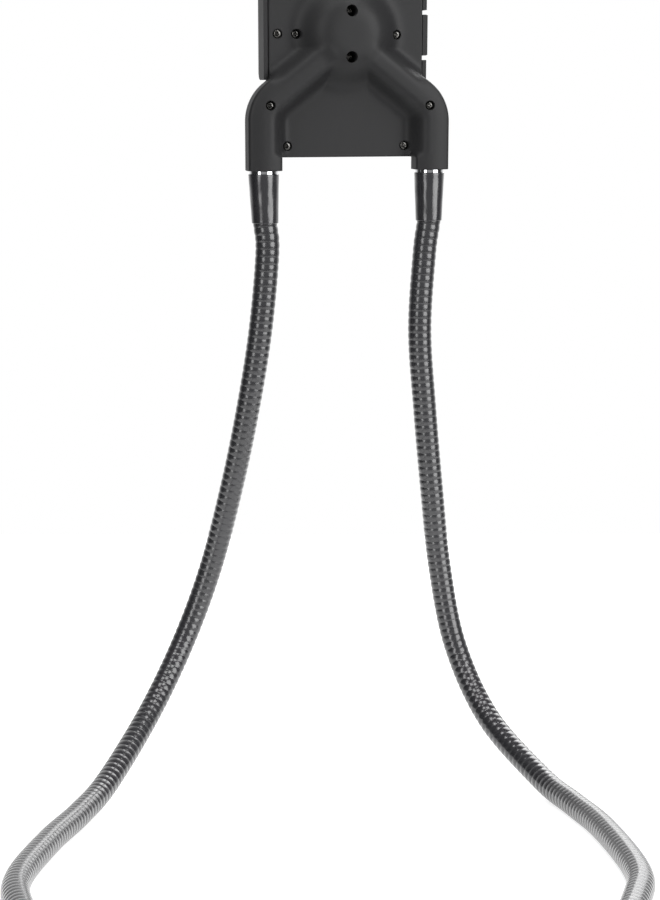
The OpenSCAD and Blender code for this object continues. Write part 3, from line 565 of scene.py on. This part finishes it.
def hose_mesh(name, from_rib, to_rib):
    """The ribbed tube between two grooves, counted from the left sleeve's top."""
    start, stop = from_rib * pitch, to_rib * pitch
    inside = run[(run > start) & (run < stop)]
    places = np.concatenate([[start], inside, [stop]])
    points = np.stack([np.interp(places, run, middle_line[:, axis]) for axis in range(3)], axis=1)
    curve = bpy.data.curves.new(name, "CURVE")
    curve.dimensions = "3D"
    spline = curve.splines.new("POLY")
    spline.points.add(len(points) - 1)
    for point, place in zip(spline.points, points * MM):
        point.co = (*place, 1)
    return grown(name, curve, rib_tree, {
        "Rings": (to_rib - from_rib) * RINGS_PER_RIB + 1, "Sides": HOSE_SIDES,
        "Rib pitch": float(pitch * MM), "Crest radius": HOSE_D / 2 * MM,
        "Groove depth": GROOVE_DEPTH * MM, "Roundness": ROUNDNESS, "Plastic": hose_pvc})


HOSE_STRETCHES = {
    "left_upper_hose": (0, UPPER_RIBS, [
        "left_upper_bend", "left_gooseneck", "left_upper_core", "left_core"]),
    "lower_hose": (UPPER_RIBS, RIBS - UPPER_RIBS, [
        "left_lower_bend", "neck_loop", "right_lower_bend",
        "left_lower_core", "loop_core", "right_lower_core"]),
    "right_upper_hose": (RIBS - UPPER_RIBS, RIBS, [
        "right_upper_bend", "right_gooseneck", "right_upper_core", "right_core"])}

hoses = {}
for name, (from_rib, to_rib, nodes) in HOSE_STRETCHES.items():
    mesh = hose_mesh(name, from_rib, to_rib)
    hoses[name] = show(name, mesh, hose_pvc, "hose_plastic", *nodes)
    print(name, "has", to_rib - from_rib, "ribs and", len(mesh.polygons), "faces")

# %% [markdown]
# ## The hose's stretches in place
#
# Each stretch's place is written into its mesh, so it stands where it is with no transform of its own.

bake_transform(hoses["lower_hose"])
for side, name in ((-1, "left_upper_hose"), (1, "right_upper_hose")):
    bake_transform(hoses[name])

# %% [markdown]
# ## Outline of the back cover
#
# The back cover is the face of this stand: one moulding with a flat plate, a round hub, two
# slanting struts and the rear halves of both elbows. Its outline is the plate with the elbows
# standing out below. Lines and arcs in the head's x and z give the right half, in millimetres,
# and the left half mirrors it.

# %% Sizes and outline of the back cover
PLATE_X = 39
PLATE_Z = 59.5
PLATE_R = 6
CASE_D = 5.5
SKIN = 1.8
WALL = 1.4
ARM_W = 17
ARM_H = 10.5
BEND_X = 27.5
BEND_Z = -42
BEND_R = 15
BEND_TURN = math.radians(52)
SOCKET_Z = -65.7
NOTCH_GAP = 0.2
GATE_Z = 11
ROD_GATE_Z = (16.2, 20.8)
OUTLINE_STEP = 1.0


def arc(x, z, r, start, stop):
    """Points of an arc, with its ends."""
    count = max(3, math.ceil(r * abs(stop - start) / OUTLINE_STEP))
    angles = [mix(start, stop, i / count) for i in range(count + 1)]
    return [(x + r * math.cos(a), z + r * math.sin(a)) for a in angles]


def dense(points, step=OUTLINE_STEP):
    """A line through the points with no gap wider than a step."""
    found = [points[0]]
    for (ax, az), (bx, bz) in zip(points, points[1:]):
        count = max(1, math.ceil(math.hypot(bx - ax, bz - az) / step))
        found += [(mix(ax, bx, i / count), mix(az, bz, i / count)) for i in range(1, count + 1)]
    return found


def mirrored_loop(half):
    """A closed outline from its right half, which runs from the bottom to the top."""
    left = [(-x, z) for x, z in reversed(half)]
    return half[:-1] + left[:-1]


def on_radius(gap, r):
    """A point at a distance from the bend's centre, on the elbow's end moved up by a gap."""
    s = math.sqrt(r * r - gap * gap)
    return (BEND_X - gap * math.sin(BEND_TURN) + s * math.cos(BEND_TURN),
            BEND_Z + gap * math.cos(BEND_TURN) + s * math.sin(BEND_TURN))


outer_r = BEND_R + ARM_W / 2
inner_r = BEND_R - ARM_W / 2
elbow_end = on_radius(0, outer_r)
strut_out = (PLATE_X, elbow_end[1] + (elbow_end[0] - PLATE_X) / math.tan(BEND_TURN))
notch_out = (PLATE_X, BEND_Z + (PLATE_X - BEND_X) * math.tan(BEND_TURN))
gate_marks = [(PLATE_X, z) for z in (
    -ROD_GATE_Z[1], -ROD_GATE_Z[0], -GATE_Z, GATE_Z, ROD_GATE_Z[0], ROD_GATE_Z[1])]
right_half = dense(
    [(0, -PLATE_Z), (BEND_X + inner_r - NOTCH_GAP, -PLATE_Z), (BEND_X + inner_r, -PLATE_Z),
     (BEND_X + inner_r, SOCKET_Z), (BEND_X + outer_r, SOCKET_Z), (BEND_X + outer_r, BEND_Z)]
    + arc(BEND_X, BEND_Z, outer_r, 0, BEND_TURN)[1:] + [strut_out] + gate_marks
    + arc(PLATE_X - PLATE_R, PLATE_Z - PLATE_R, PLATE_R, 0, math.pi / 2) + [(0, PLATE_Z)])
outline = np.array(mirrored_loop(right_half))
print("outline of the back cover:", len(outline), "points")


# %% [markdown]
# ## Its rounded form as a height over the plate
#
# Seen from behind, no part of this moulding hides another, so one height over the plate gives
# its whole form. The hub and the arms are bell curves: a flat crown, a steep flank and a hollow
# foot that runs out into the plate, just as the fillets of the real mould do. Where an elbow
# stands out beside the plate, its flank is a true round edge over a straight side. A sum of
# high powers joins the bells, and leaves a soft valley where they meet.

# %% Height of the back cover
HUB_H = 12
HUB_BELL = (21.5, 5)
ARM_BELL = (8.7, 3.8)
ARM_ARCH = 1.6
ARM_EDGE_R = 1.5
ARM_STEEPNESS = 8
SOCKET_FADE = 3.5
# Along the strut: where its outer flank turns soft, and where it ends under the hub.
STRUT_FADE = (1.5, 9)
STRUT_END = (34, 46)
JOIN_POWER = 10


def fade(t):
    """Runs smoothly from 0 to 1."""
    t = np.clip(t, 0, 1)
    return t * t * (3 - 2 * t)


def bell(distance, size):
    """A bell curve of a given half width and steepness."""
    return np.exp(-(np.abs(distance) / size[0]) ** size[1])


def round_edge(distance):
    """The elbow's section: a slightly arched back, small round edges and straight sides."""
    away = np.abs(distance) / (ARM_W / 2)
    over = np.clip((np.abs(distance) - ARM_W / 2) / ARM_EDGE_R + 1, 0, 1)
    rounding = ARM_EDGE_R * (1 - np.sqrt(1 - over * over))
    past = np.clip(np.abs(distance) - ARM_W / 2, 0, None)
    return np.clip(ARM_H - ARM_ARCH * away ** 2 - rounding - ARM_STEEPNESS * past, 0, None)


def arm_height(x, z):
    """Height of the right arm: socket, bend and strut."""
    u, v = x - BEND_X, z - BEND_Z
    c, s = math.cos(BEND_TURN), math.sin(BEND_TURN)
    on_strut = (v > 0) & (np.arctan2(v, u) > BEND_TURN)
    side = np.where(v < 0, u - BEND_R, np.hypot(u, v) - BEND_R)
    side = np.where(on_strut, u * c + v * s - BEND_R, side)
    along = np.where(on_strut, v * c - u * s, 0)
    under_hub = fade((along - STRUT_END[0]) / (STRUT_END[1] - STRUT_END[0]))
    soft = ARM_H * bell(side, ARM_BELL) * (1 - under_hub)
    on_plate = fade((along - STRUT_FADE[0]) / (STRUT_FADE[1] - STRUT_FADE[0]))
    outer = np.where(side > 0, 1 - on_plate, 0)
    below = fade((-PLATE_Z + SOCKET_FADE - z) / SOCKET_FADE)
    hard = np.maximum(outer, below)
    return mix(soft, round_edge(side), hard)


def height(x, z):
    """Height of the back cover's face over the plate, in millimetres."""
    parts = [HUB_H * bell(np.hypot(x, z), HUB_BELL), arm_height(x, z), arm_height(-x, z)]
    return sum(part ** JOIN_POWER for part in parts) ** (1 / JOIN_POWER)


# %% [markdown]
# ## Mesh of the back cover
#
# The face is covered by an even net of points, with closer rings along the outline and round
# the screw holes, and a Delaunay triangulation joins them. The rings carry the tiny round edge
# that every moulding has.

# %% Screw holes, in millimetres: places, radius, and depth of the seat from the plate
HOLE_R = 2.4
HUB_HOLE_R = 2.8
HUB_SCREW_Z = 11
HUB_SEAT = -4
MIDDLE_SCREW_X = 25.5
CORNER_SCREW = (30, 54)
JAW_SCREW_X = 34.6
PLATE_SEAT = 1.1
ELBOW_SCREW_TURN = 0.6 * BEND_TURN
ELBOW_SEAT = 2.4 - ARM_H

elbow_screw = (BEND_X + BEND_R * math.cos(ELBOW_SCREW_TURN),
               BEND_Z + BEND_R * math.sin(ELBOW_SCREW_TURN))
cover_places = [(-MIDDLE_SCREW_X, 0), (MIDDLE_SCREW_X, 0)]
cover_places += [(sx * CORNER_SCREW[0], sz * CORNER_SCREW[1]) for sx in (-1, 1) for sz in (-1, 1)]
SEATS = {
    "hub_screws": ([(0, -HUB_SCREW_Z), (0, HUB_SCREW_Z)], HUB_HOLE_R, HUB_SEAT),
    "cover_screws": (cover_places, HOLE_R, PLATE_SEAT),
    "elbow_screws": ([(-elbow_screw[0], elbow_screw[1]), elbow_screw], HOLE_R, ELBOW_SEAT),
    "jaw_screw": ([(-JAW_SCREW_X, 0)], HOLE_R, PLATE_SEAT)}
holes = [(x, z, r, seat) for places, r, seat in SEATS.values() for x, z in places]
print("screw holes:", len(holes))


# %% Helpers for outlines and nets
HOLE_SIDES = 28
HOLE_EDGE = 0.12
MERGE = 1e-5


def inset(loop, distance):
    """A closed outline moved inwards, for outlines that run anticlockwise."""
    ahead = np.roll(loop, -1, axis=0) - loop
    ahead /= np.linalg.norm(ahead, axis=1)[:, None]
    normal = np.stack([-ahead[:, 1], ahead[:, 0]], axis=1)
    both = normal + np.roll(normal, 1, axis=0)
    return loop + distance * 2 * both / np.sum(both * both, axis=1)[:, None]


def clearance(points, loop):
    """Distance of each point from a closed outline."""
    start, step = loop, np.roll(loop, -1, axis=0) - loop
    away = points[:, None, :] - start[None]
    t = np.clip(np.sum(away * step, axis=2) / np.sum(step * step, axis=1), 0, 1)
    return np.linalg.norm(away - t[..., None] * step, axis=2).min(axis=1)


def inside(points, loop):
    """Whether each point lies in a closed outline, by counting the edges beside it."""
    ax, az = loop[:, 0], loop[:, 1]
    bx, bz = np.roll(ax, -1), np.roll(az, -1)
    px, pz = points[:, 0, None], points[:, 1, None]
    across = (az > pz) != (bz > pz)
    safe = np.where(bz == az, 1, bz - az)
    return (across & (px < ax + (pz - az) * (bx - ax) / safe)).sum(axis=1) % 2 == 1


def loop_edges(first, count):
    """The edges of a closed loop of points, by their numbers."""
    return [(first + i, first + (i + 1) % count) for i in range(count)]


def triangulate(points, edges):
    """Triangles over all the points, with the given edges kept."""
    found = delaunay_2d_cdt([Vector(p) for p in points], edges, [], 0, MERGE)
    return np.array([tuple(p) for p in found[0]]), found[2]


def circle_places(x, z, r):
    """The corners of a hole's edge."""
    angles = [2 * math.pi * i / HOLE_SIDES for i in range(HOLE_SIDES)]
    return [(x + r * math.cos(a), z + r * math.sin(a)) for a in angles]


# %% Net of the face
EDGE_RINGS = (0.06, 0.2, 0.45)
OUTER_RINGS = (0.9, 1.5)
RING_SHARE = 0.97
NET = 0.75
NET_CLEAR = 0.6 * NET
NET_REACH = (60, 90)

net_points = list(map(tuple, outline))
net_edges = loop_edges(0, len(outline))
for distance in EDGE_RINGS:
    net_edges += loop_edges(len(net_points), len(outline))
    net_points += map(tuple, inset(outline, distance))
for distance in OUTER_RINGS:
    ring = inset(outline, distance)
    net_points += map(tuple, ring[clearance(ring, outline) > RING_SHARE * distance])
for x, z, r, seat in holes:
    for ring_r in (r, r + HOLE_EDGE):
        net_edges += loop_edges(len(net_points), HOLE_SIDES)
        net_points += circle_places(x, z, ring_r)

rows = np.arange(-NET_REACH[1], NET_REACH[1], NET * math.sqrt(3) / 2)
columns = np.arange(-NET_REACH[0], NET_REACH[0], NET)
net = np.array([(x + (i % 2) * NET / 2, z) for i, z in enumerate(rows) for x in columns])
net = net[inside(net, outline)]
net = net[clearance(net, outline) > OUTER_RINGS[-1] + NET_CLEAR]
for x, z, r, seat in holes:
    net = net[np.hypot(net[:, 0] - x, net[:, 1] - z) > r + HOLE_EDGE + NET_CLEAR]
face_points, face_triangles = triangulate(net_points + list(map(tuple, net)), net_edges)
print("net of the back cover:", len(face_points), "points")

# %% [markdown]
# ## The inside of the back cover
#
# Only slits show the inside: the seam with the front cover, the notches for the elbow caps and
# the gates for the clamp. So the inside is a tray of flat steps. Lines in the outline say where
# a step starts, and one function says how deep the cover is at any place.

# %% Tray on the inside
# The seam between an elbow's halves, and the depth of the strut that stands out beside the plate.
SEAM = 0.2
STRUT_DEPTH = 0.3
GATE_DEPTH = 2.25
NOTCH_STEP = 2


def tray_depth(x, z):
    """Depth of the inside at a place: where each wall, notch or opening ends."""
    side, u, v = abs(x), abs(x) - BEND_X, z - BEND_Z
    in_bend = v >= 0 and math.atan2(v, u) < BEND_TURN and math.hypot(u, v) > notch_r
    if in_bend or (v < 0 and u > notch_r):
        return PART_Y - SEAM
    if side > PLATE_X:
        return STRUT_DEPTH
    if inside(np.array([(x, z)]), cavity)[0]:
        return SKIN
    if side > reach and abs(z) < GATE_Z:
        return GATE_DEPTH
    if x > reach and ROD_GATE_Z[0] < abs(z) < ROD_GATE_Z[1]:
        return SKIN
    return CASE_D


wall_gap = NOTCH_GAP + WALL
reach = PLATE_X - WALL
notch_r = inner_r - NOTCH_GAP
notch = dense([notch_out, on_radius(0, notch_r)], NOTCH_STEP)
notch += arc(BEND_X, BEND_Z, notch_r, BEND_TURN, 0)[1:] + [(BEND_X + notch_r, -PLATE_Z)]
edge_turn = BEND_TURN + math.asin(wall_gap / (inner_r - wall_gap))
wall_end = (reach - BEND_X + wall_gap * math.sin(BEND_TURN)) / math.cos(BEND_TURN)
cavity = np.array(mirrored_loop(
    [(0, WALL - PLATE_Z), (BEND_X + inner_r - wall_gap, WALL - PLATE_Z)]
    + arc(BEND_X, BEND_Z, inner_r - wall_gap, 0, edge_turn)
    + [(reach, BEND_Z + wall_gap * math.cos(BEND_TURN) + wall_end * math.sin(BEND_TURN))]
    + [(reach, z) for x, z in gate_marks]
    + arc(PLATE_X - PLATE_R, PLATE_Z - PLATE_R, PLATE_R - WALL, 0, math.pi / 2)
    + [(0, PLATE_Z - WALL)]))

tray_points = list(map(tuple, outline)) + list(map(tuple, cavity))
tray_edges = loop_edges(0, len(outline)) + loop_edges(len(outline), len(cavity))
for sign in (-1, 1):
    lines = [[elbow_end] + notch, [notch_out, strut_out]]
    lines += [[(PLATE_X, z), (reach, z)] for x, z in gate_marks]
    for points in lines:
        first = len(tray_points)
        tray_edges += [(first + i, first + i + 1) for i in range(len(points) - 1)]
        tray_points += [(sign * x, z) for x, z in points]
back_points, back_triangles = triangulate(tray_points, tray_edges)
print("tray of the back cover:", len(back_points), "points")


# %% [markdown]
# ## One closed shell
#
# The face, the tray and the holes are joined at shared points, so no edge stays open. Straight
# walls join the face's rim to the tray, and stand wherever two of its steps meet.

# %% Parts of the shell
EDGE_R = 0.45
HOLE_SLACK = 0.01
CHUNKS = 16


def key(point):
    """A place in the head's x and z that equal points share."""
    return (round(float(point[0]), 3), round(float(point[1]), 3))


def drop(gap):
    """How far the small round edge lies under the face at a gap from the outline."""
    over = np.clip(EDGE_R - gap, 0, EDGE_R)
    return EDGE_R - np.sqrt(EDGE_R ** 2 - over ** 2)


def add_face(shell):
    """Adds the face, without the holes. Gives its points by their places."""
    chunks = np.array_split(face_points, CHUNKS)
    gap = np.concatenate([clearance(chunk, outline) for chunk in chunks])
    tops = -height(face_points[:, 0], face_points[:, 1]) + drop(gap)
    for x, z, r, seat in holes:
        away = np.hypot(face_points[:, 0] - x, face_points[:, 1] - z)
        tops[np.abs(away - r) < HOLE_EDGE / 2] += HOLE_EDGE
    top = [shell.verts.new((x, y, z)) for (x, z), y in zip(face_points, tops)]
    middles = np.array([face_points[list(t)].mean(axis=0) for t in face_triangles])
    kept = inside(middles, outline)
    for x, z, r, seat in holes:
        away = np.hypot(middles[:, 0] - x, middles[:, 1] - z)
        kept &= away > r * math.cos(math.pi / HOLE_SIDES) - HOLE_SLACK
    for triangle, use in zip(face_triangles, kept):
        if use:
            shell.faces.new([top[i] for i in triangle])
    return {key(p): v for p, v in zip(face_points, top)}


def add_tray(shell, rim):
    """Adds the tray's steps, and the walls from step to step and up to the rim."""
    deep = {}
    levels = {}
    owners = {}
    for triangle in back_triangles:
        x, z = back_points[list(triangle)].mean(axis=0)
        if not inside(np.array([(x, z)]), outline)[0]:
            continue
        level = tray_depth(x, z)
        for i in triangle:
            place = (back_points[i][0], level, back_points[i][1])
            deep.setdefault((i, level), shell.verts.new(place))
            levels.setdefault(i, set()).add(level)
        shell.faces.new([deep[i, level] for i in reversed(triangle)])
        for a, b in zip(triangle, triangle[1:] + triangle[:1]):
            owners.setdefault(frozenset((a, b)), []).append((level, a, b))
    for sides in owners.values():
        sides = sorted(sides)
        level, a, b = sides[-1]
        if len(sides) == 2 and sides[0][0] == level:
            continue
        upper = sides[0][0] if len(sides) == 2 else None
        corner = {}
        for i in (a, b):
            between = (y for y in levels[i] if y <= level and (upper is None or y >= upper))
            corner[i] = [deep[i, y] for y in sorted(between)]
            if upper is None:
                corner[i].insert(0, rim[key(back_points[i])])
        shell.faces.new(corner[b] + corner[a][::-1])


def add_holes(shell, rim):
    """Adds the holes' walls and floors."""
    for x, z, r, seat in holes:
        places = circle_places(x, z, r)
        upper = [rim[key(p)] for p in places]
        lower = [shell.verts.new((px, seat, pz)) for px, pz in places]
        for i in range(HOLE_SIDES):
            k = (i + 1) % HOLE_SIDES
            shell.faces.new((upper[i], upper[k], lower[k], lower[i]))
        shell.faces.new(lower)


# %% Join the parts
def closed_mesh(work, name):
    """The mesh of a closed shell, with its faces turned outwards."""
    bmesh.ops.recalc_face_normals(work, faces=work.faces)
    mesh = bpy.data.meshes.new(name)
    work.to_mesh(mesh)
    work.free()
    return mesh


def back_cover_mesh():
    """The closed shell of the back cover, in its place on the stand."""
    shell = bmesh.new()
    rim = add_face(shell)
    add_tray(shell, rim)
    add_holes(shell, rim)
    loose = [v for v in shell.verts if not v.link_faces]
    bmesh.ops.delete(shell, geom=loose, context="VERTS")
    open_edges = sum(not edge.is_manifold for edge in shell.edges)
    print("back cover:", len(shell.faces), "faces,", open_edges, "open edges")
    mesh = closed_mesh(shell, "back_shell")
    mesh.transform(HEAD @ Matrix.Scale(MM, 4))
    return mesh


back_shell = show("back_shell", back_cover_mesh(), abs_plastic, "case_plastic", "back_cover")
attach(back_shell, "head")

# %% [markdown]
# ## Pieces that keep their solid's form
#
# The front cover, elbow caps, jaws and pads already have the right form, but their edges are
# razor sharp. A moulding's edges are always a little round and catch a thin line of light. So
# each is copied, its loose triangles are merged into clean faces, and a Bevel modifier rounds
# the edges.

# %% Copies with rounded edges
FLAT = math.radians(0.6)
MERGE_GAP = 0.004 * MM
BEVEL_FROM = math.radians(40)
BEVEL_STEPS = 3


def rounded_copy(node, name, material, slot, edge, body="head"):
    """A copy of a solid with its edges rounded, in millimetres."""
    mesh = frame["nodes"][node].data.copy()
    work = bmesh.new()
    work.from_mesh(mesh)
    bmesh.ops.remove_doubles(work, verts=work.verts, dist=MERGE_GAP)
    bmesh.ops.dissolve_limit(work, angle_limit=FLAT, verts=work.verts, edges=work.edges)
    work.to_mesh(mesh)
    work.free()
    piece = show(name, mesh, material, slot, node)
    bevel = piece.modifiers.new("round_edges", "BEVEL")
    bevel.width = edge * MM
    bevel.segments = BEVEL_STEPS
    bevel.limit_method = "ANGLE"
    bevel.angle_limit = BEVEL_FROM
    bevel.harden_normals = True
    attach(piece, body)
    print(name, "has edges of", edge, "mm")


MOULDED = (abs_plastic, "case_plastic")
SOFT = (rubber, "pad_rubber")
PLATED = (chrome, "bright_chrome")
COPIES = {
    "front_cover": ("front_shell", *MOULDED, 0.4),
    "left_elbow_cap": ("left_cap", *MOULDED, 0.25),
    "right_elbow_cap": ("right_cap", *MOULDED, 0.25),
    "left_jaw": ("left_clamp_jaw", *MOULDED, 0.35),
    "right_jaw": ("right_clamp_jaw", *MOULDED, 0.35, "right_jaw"),
    "front_pad": ("back_rest_pad", *SOFT, 0.3),
    "left_jaw_pad": ("left_grip", *SOFT, 0.5),
    "right_jaw_pad": ("right_grip", *SOFT, 0.5, "right_jaw"),
    "left_ferrule": ("left_end_fitting", *PLATED, 0.12),
    "right_ferrule": ("right_end_fitting", *PLATED, 0.12)}
for node, settings in COPIES.items():
    rounded_copy(node, *settings)

# %% [markdown]
# ## Sleeves
#
# A sleeve is a shrink tube over the hose's end. It is a lathe form: a slight taper with a
# rounded lower lip. Heat never shrinks it quite evenly, so smooth noise moves its wall by a
# few hundredths of a millimetre, and the two long highlights waver as they do in the photograph.
# The noise is read along a circle, so it closes round the tube.

# %% Sleeves
SLEEVE_TOP_R = 7.6
SLEEVE_END_R = 6.6
SLEEVE_EDGE = 0.35
SLEEVE_CHAMFER = 0.1
LIP_R = 0.25
LIP_STEP = 15
WALL_STEPS = 30
SLEEVE_BORE_R = 6.06
SLEEVE_SIDES = 64
WAVE = 0.09
WAVE_MEAN = 0.3
WAVE_CIRCLE = 2.2
WAVE_LENGTH = 6
WAVE_ENDS = 0.5
SLEEVE_SEEDS = {-1: 3, 1: 11}


def lathe(profile, sides, wobble=None):
    """A closed mesh from a closed profile of radius and height, turned about z."""
    turned = bmesh.new()
    rings = []
    for r, z in profile:
        ring = []
        for i in range(sides):
            a = 2 * math.pi * i / sides
            wide = r + (wobble(a, z) if wobble else 0)
            ring.append(turned.verts.new((wide * math.cos(a), wide * math.sin(a), z)))
        rings.append(ring)
    for ring, other in zip(rings, rings[1:] + rings[:1]):
        for i in range(sides):
            k = (i + 1) % sides
            turned.faces.new((ring[i], ring[k], other[k], other[i]))
    return closed_mesh(turned, "turned")


def sleeve_mesh(side):
    """A sleeve with its top at zero, in millimetres."""
    lip = [(SLEEVE_END_R - LIP_R * (1 - math.cos(a)), LIP_R * (1 - math.sin(a)) - SLEEVE_LENGTH)
           for a in (math.radians(turn) for turn in range(0, 91, LIP_STEP))]
    wall_length = SLEEVE_LENGTH - SLEEVE_EDGE - LIP_R
    wall = [(mix(SLEEVE_TOP_R, SLEEVE_END_R, t), -SLEEVE_EDGE - t * wall_length)
            for t in (i / WALL_STEPS for i in range(WALL_STEPS))]
    profile = [(SLEEVE_BORE_R, 0), (SLEEVE_TOP_R - SLEEVE_EDGE, 0),
               (SLEEVE_TOP_R - SLEEVE_CHAMFER, -SLEEVE_CHAMFER)]
    profile += wall + lip + [(SLEEVE_BORE_R, -SLEEVE_LENGTH)]

    def wobble(a, z):
        if -SLEEVE_LENGTH + WAVE_ENDS > z or z > -WAVE_ENDS:
            return 0
        spot = Vector((WAVE_CIRCLE * math.cos(a), WAVE_CIRCLE * math.sin(a),
                       z / WAVE_LENGTH + SLEEVE_SEEDS[side]))
        return WAVE * (noise.noise(spot) - WAVE_MEAN)

    return lathe(profile, SLEEVE_SIDES, wobble)


for side, name in ((-1, "left_sleeve"), (1, "right_sleeve")):
    mesh = sleeve_mesh(side)
    lean = Matrix.Identity(4)
    lean[0][2] = -SLEEVE_LEAN[side] / SLEEVE_LENGTH
    mesh.transform(HEAD @ Matrix.Scale(MM, 4)
                   @ Matrix.Translation((side * SOCKET_X, PART_Y, SLEEVE_TOP)) @ lean)
    tube = show(name + "_tube", mesh, sleeve_pvc, "sleeve_plastic", name)
    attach(tube, "head")
    print(name, "is", SLEEVE_LENGTH, "mm long")

# %% [markdown]
# ## Screws
#
# Eleven small screws of one kind hold the head together. One low, flat-topped head with a
# cross recess is turned and cut once. Geometry nodes set a copy on each seat, facing out, and
# turn each by a random angle, because nobody lines up screws. A head is made as wide as its
# recess, less a dark ring round it. The copies are then made real, one mesh for each group.

# %% One screw head
SCREW_R = 1.75
SCREW_H = 1.1
HEAD_GAP = 0.5
RIM_H = 0.25
CROWN_ROUND = 0.6
CROWN_LIFT = 0.7
CROWN_STEP = 15
AXIS_R = 0.01
SCREW_SIDES = 32
CROSS_ARM = 0.62 * SCREW_R
CROSS_HALF_W = 0.2 * SCREW_R
CROSS_FLOOR = 0.3
CROSS_OVER = 0.3
CROSS_TAPER = (1.15, 0.45)


def cross_cutter():
    """A tapering cross that cuts the driver's recess."""
    arm = [(CROSS_ARM, -CROSS_HALF_W), (CROSS_ARM, CROSS_HALF_W), (CROSS_HALF_W, CROSS_HALF_W)]
    plan = []
    for _ in range(4):
        plan += arm
        arm = [(-y, x) for x, y in arm]
    cutter = bmesh.new()
    wide, narrow = CROSS_TAPER
    upper = [cutter.verts.new((wide * x, wide * y, SCREW_H + CROSS_OVER)) for x, y in plan]
    lower = [cutter.verts.new((narrow * x, narrow * y, CROSS_FLOOR)) for x, y in plan]
    for i in range(len(plan)):
        k = (i + 1) % len(plan)
        cutter.faces.new((upper[i], lower[i], lower[k], upper[k]))
    cutter.faces.new(upper)
    cutter.faces.new(lower[::-1])
    return closed_mesh(cutter, "cross")


def screw_head():
    """A low head with its cross recess, its foot at zero and its top along z."""
    crown = []
    for a in (math.radians(turn) for turn in range(0, 90, CROWN_STEP)):
        lift = (SCREW_H - RIM_H) * math.sin(a) ** CROWN_LIFT
        crown.append((SCREW_R * math.cos(a) ** CROWN_ROUND, RIM_H + lift))
    mesh = lathe([(AXIS_R, 0), (SCREW_R, 0)] + crown + [(AXIS_R, SCREW_H)], SCREW_SIDES)
    head = new_object("screw_head", mesh)
    cross = new_object("cross", cross_cutter())
    cut = head.modifiers.new("recess", "BOOLEAN")
    cut.operation = "DIFFERENCE"
    cut.solver = "EXACT"
    cut.object = cross
    mesh = evaluated_mesh(head)
    bpy.data.objects.remove(cross)
    mesh.transform(Matrix.Scale(MM, 4))
    mesh.shade_smooth()
    mesh.set_sharp_from_angle(angle=CRISP)
    return mesh


# %% Tree that sets the screws
screw_tree, given = new_growth("set_screws", {
    "Seats": "Geometry", "Screw": "Object", "Facing": "Vector", "Size": "Float",
    "Seed": "Int", "Metal": "Material"}, "Screws")
shape = add(screw_tree, "GeometryNodeObjectInfo", {"Object": given["Screw"]})
turn = add(screw_tree, "FunctionNodeRandomValue", {
    2: 0.0, 3: math.tau, "Seed": given["Seed"]}, data_type="FLOAT")
turn = add(screw_tree, "ShaderNodeCombineXYZ", {"Z": turn.outputs[1]})
turn = add(screw_tree, "FunctionNodeEulerToRotation", {0: turn.outputs[0]})
facing = add(screw_tree, "FunctionNodeEulerToRotation", {0: given["Facing"]})
aim = add(screw_tree, "FunctionNodeRotateRotation", {
    0: facing.outputs[0], 1: turn.outputs[0]}, rotation_space="LOCAL")
copies = add(screw_tree, "GeometryNodeInstanceOnPoints", {
    "Points": given["Seats"], "Instance": shape.outputs["Geometry"], "Rotation": aim.outputs[0],
    "Scale": given["Size"]})
real = add(screw_tree, "GeometryNodeRealizeInstances", {0: copies.outputs[0]})
plated = add(screw_tree, "GeometryNodeSetMaterial", {
    0: real.outputs[0], "Material": given["Metal"]})
add(screw_tree, "NodeGroupOutput", {"Screws": plated.outputs[0]})
print("the tree for the screws has", len(screw_tree.nodes), "nodes")

# %% Set the screws
screw = new_object("screw", screw_head())
facing = Matrix((head_x, head_z, -head_y)).transposed().to_euler()
for seed, (node, (places, r, seat)) in enumerate(SEATS.items()):
    seats = bpy.data.meshes.new(node)
    seats.from_pydata([HEAD @ (Vector((x, seat, z)) * MM) for x, z in places], [], [])
    mesh = grown(node, seats, screw_tree, {
        "Screw": screw, "Facing": facing[:], "Size": (r - HEAD_GAP) / SCREW_R,
        "Seed": seed + 1, "Metal": nickel})
    heads = show(node + "_heads", mesh, nickel, "screw_steel", node)
    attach(heads, "head")
    print(node, "has", len(places), "screws")
bpy.data.objects.remove(screw)

# %% [markdown]
# ## The clamp's works
#
# The rods, their collars and the springs sit inside the case and keep their solids. They only
# need the right metal.

# %% Metal for the clamp's works
for node in ("guide_rods", "rod_nuts", "clamp_springs"):
    slots = frame["nodes"][node].material_slots
    for slot in slots:
        slot.material = nickel
    print(node, "keeps its solid, with", len(slots), "finish")
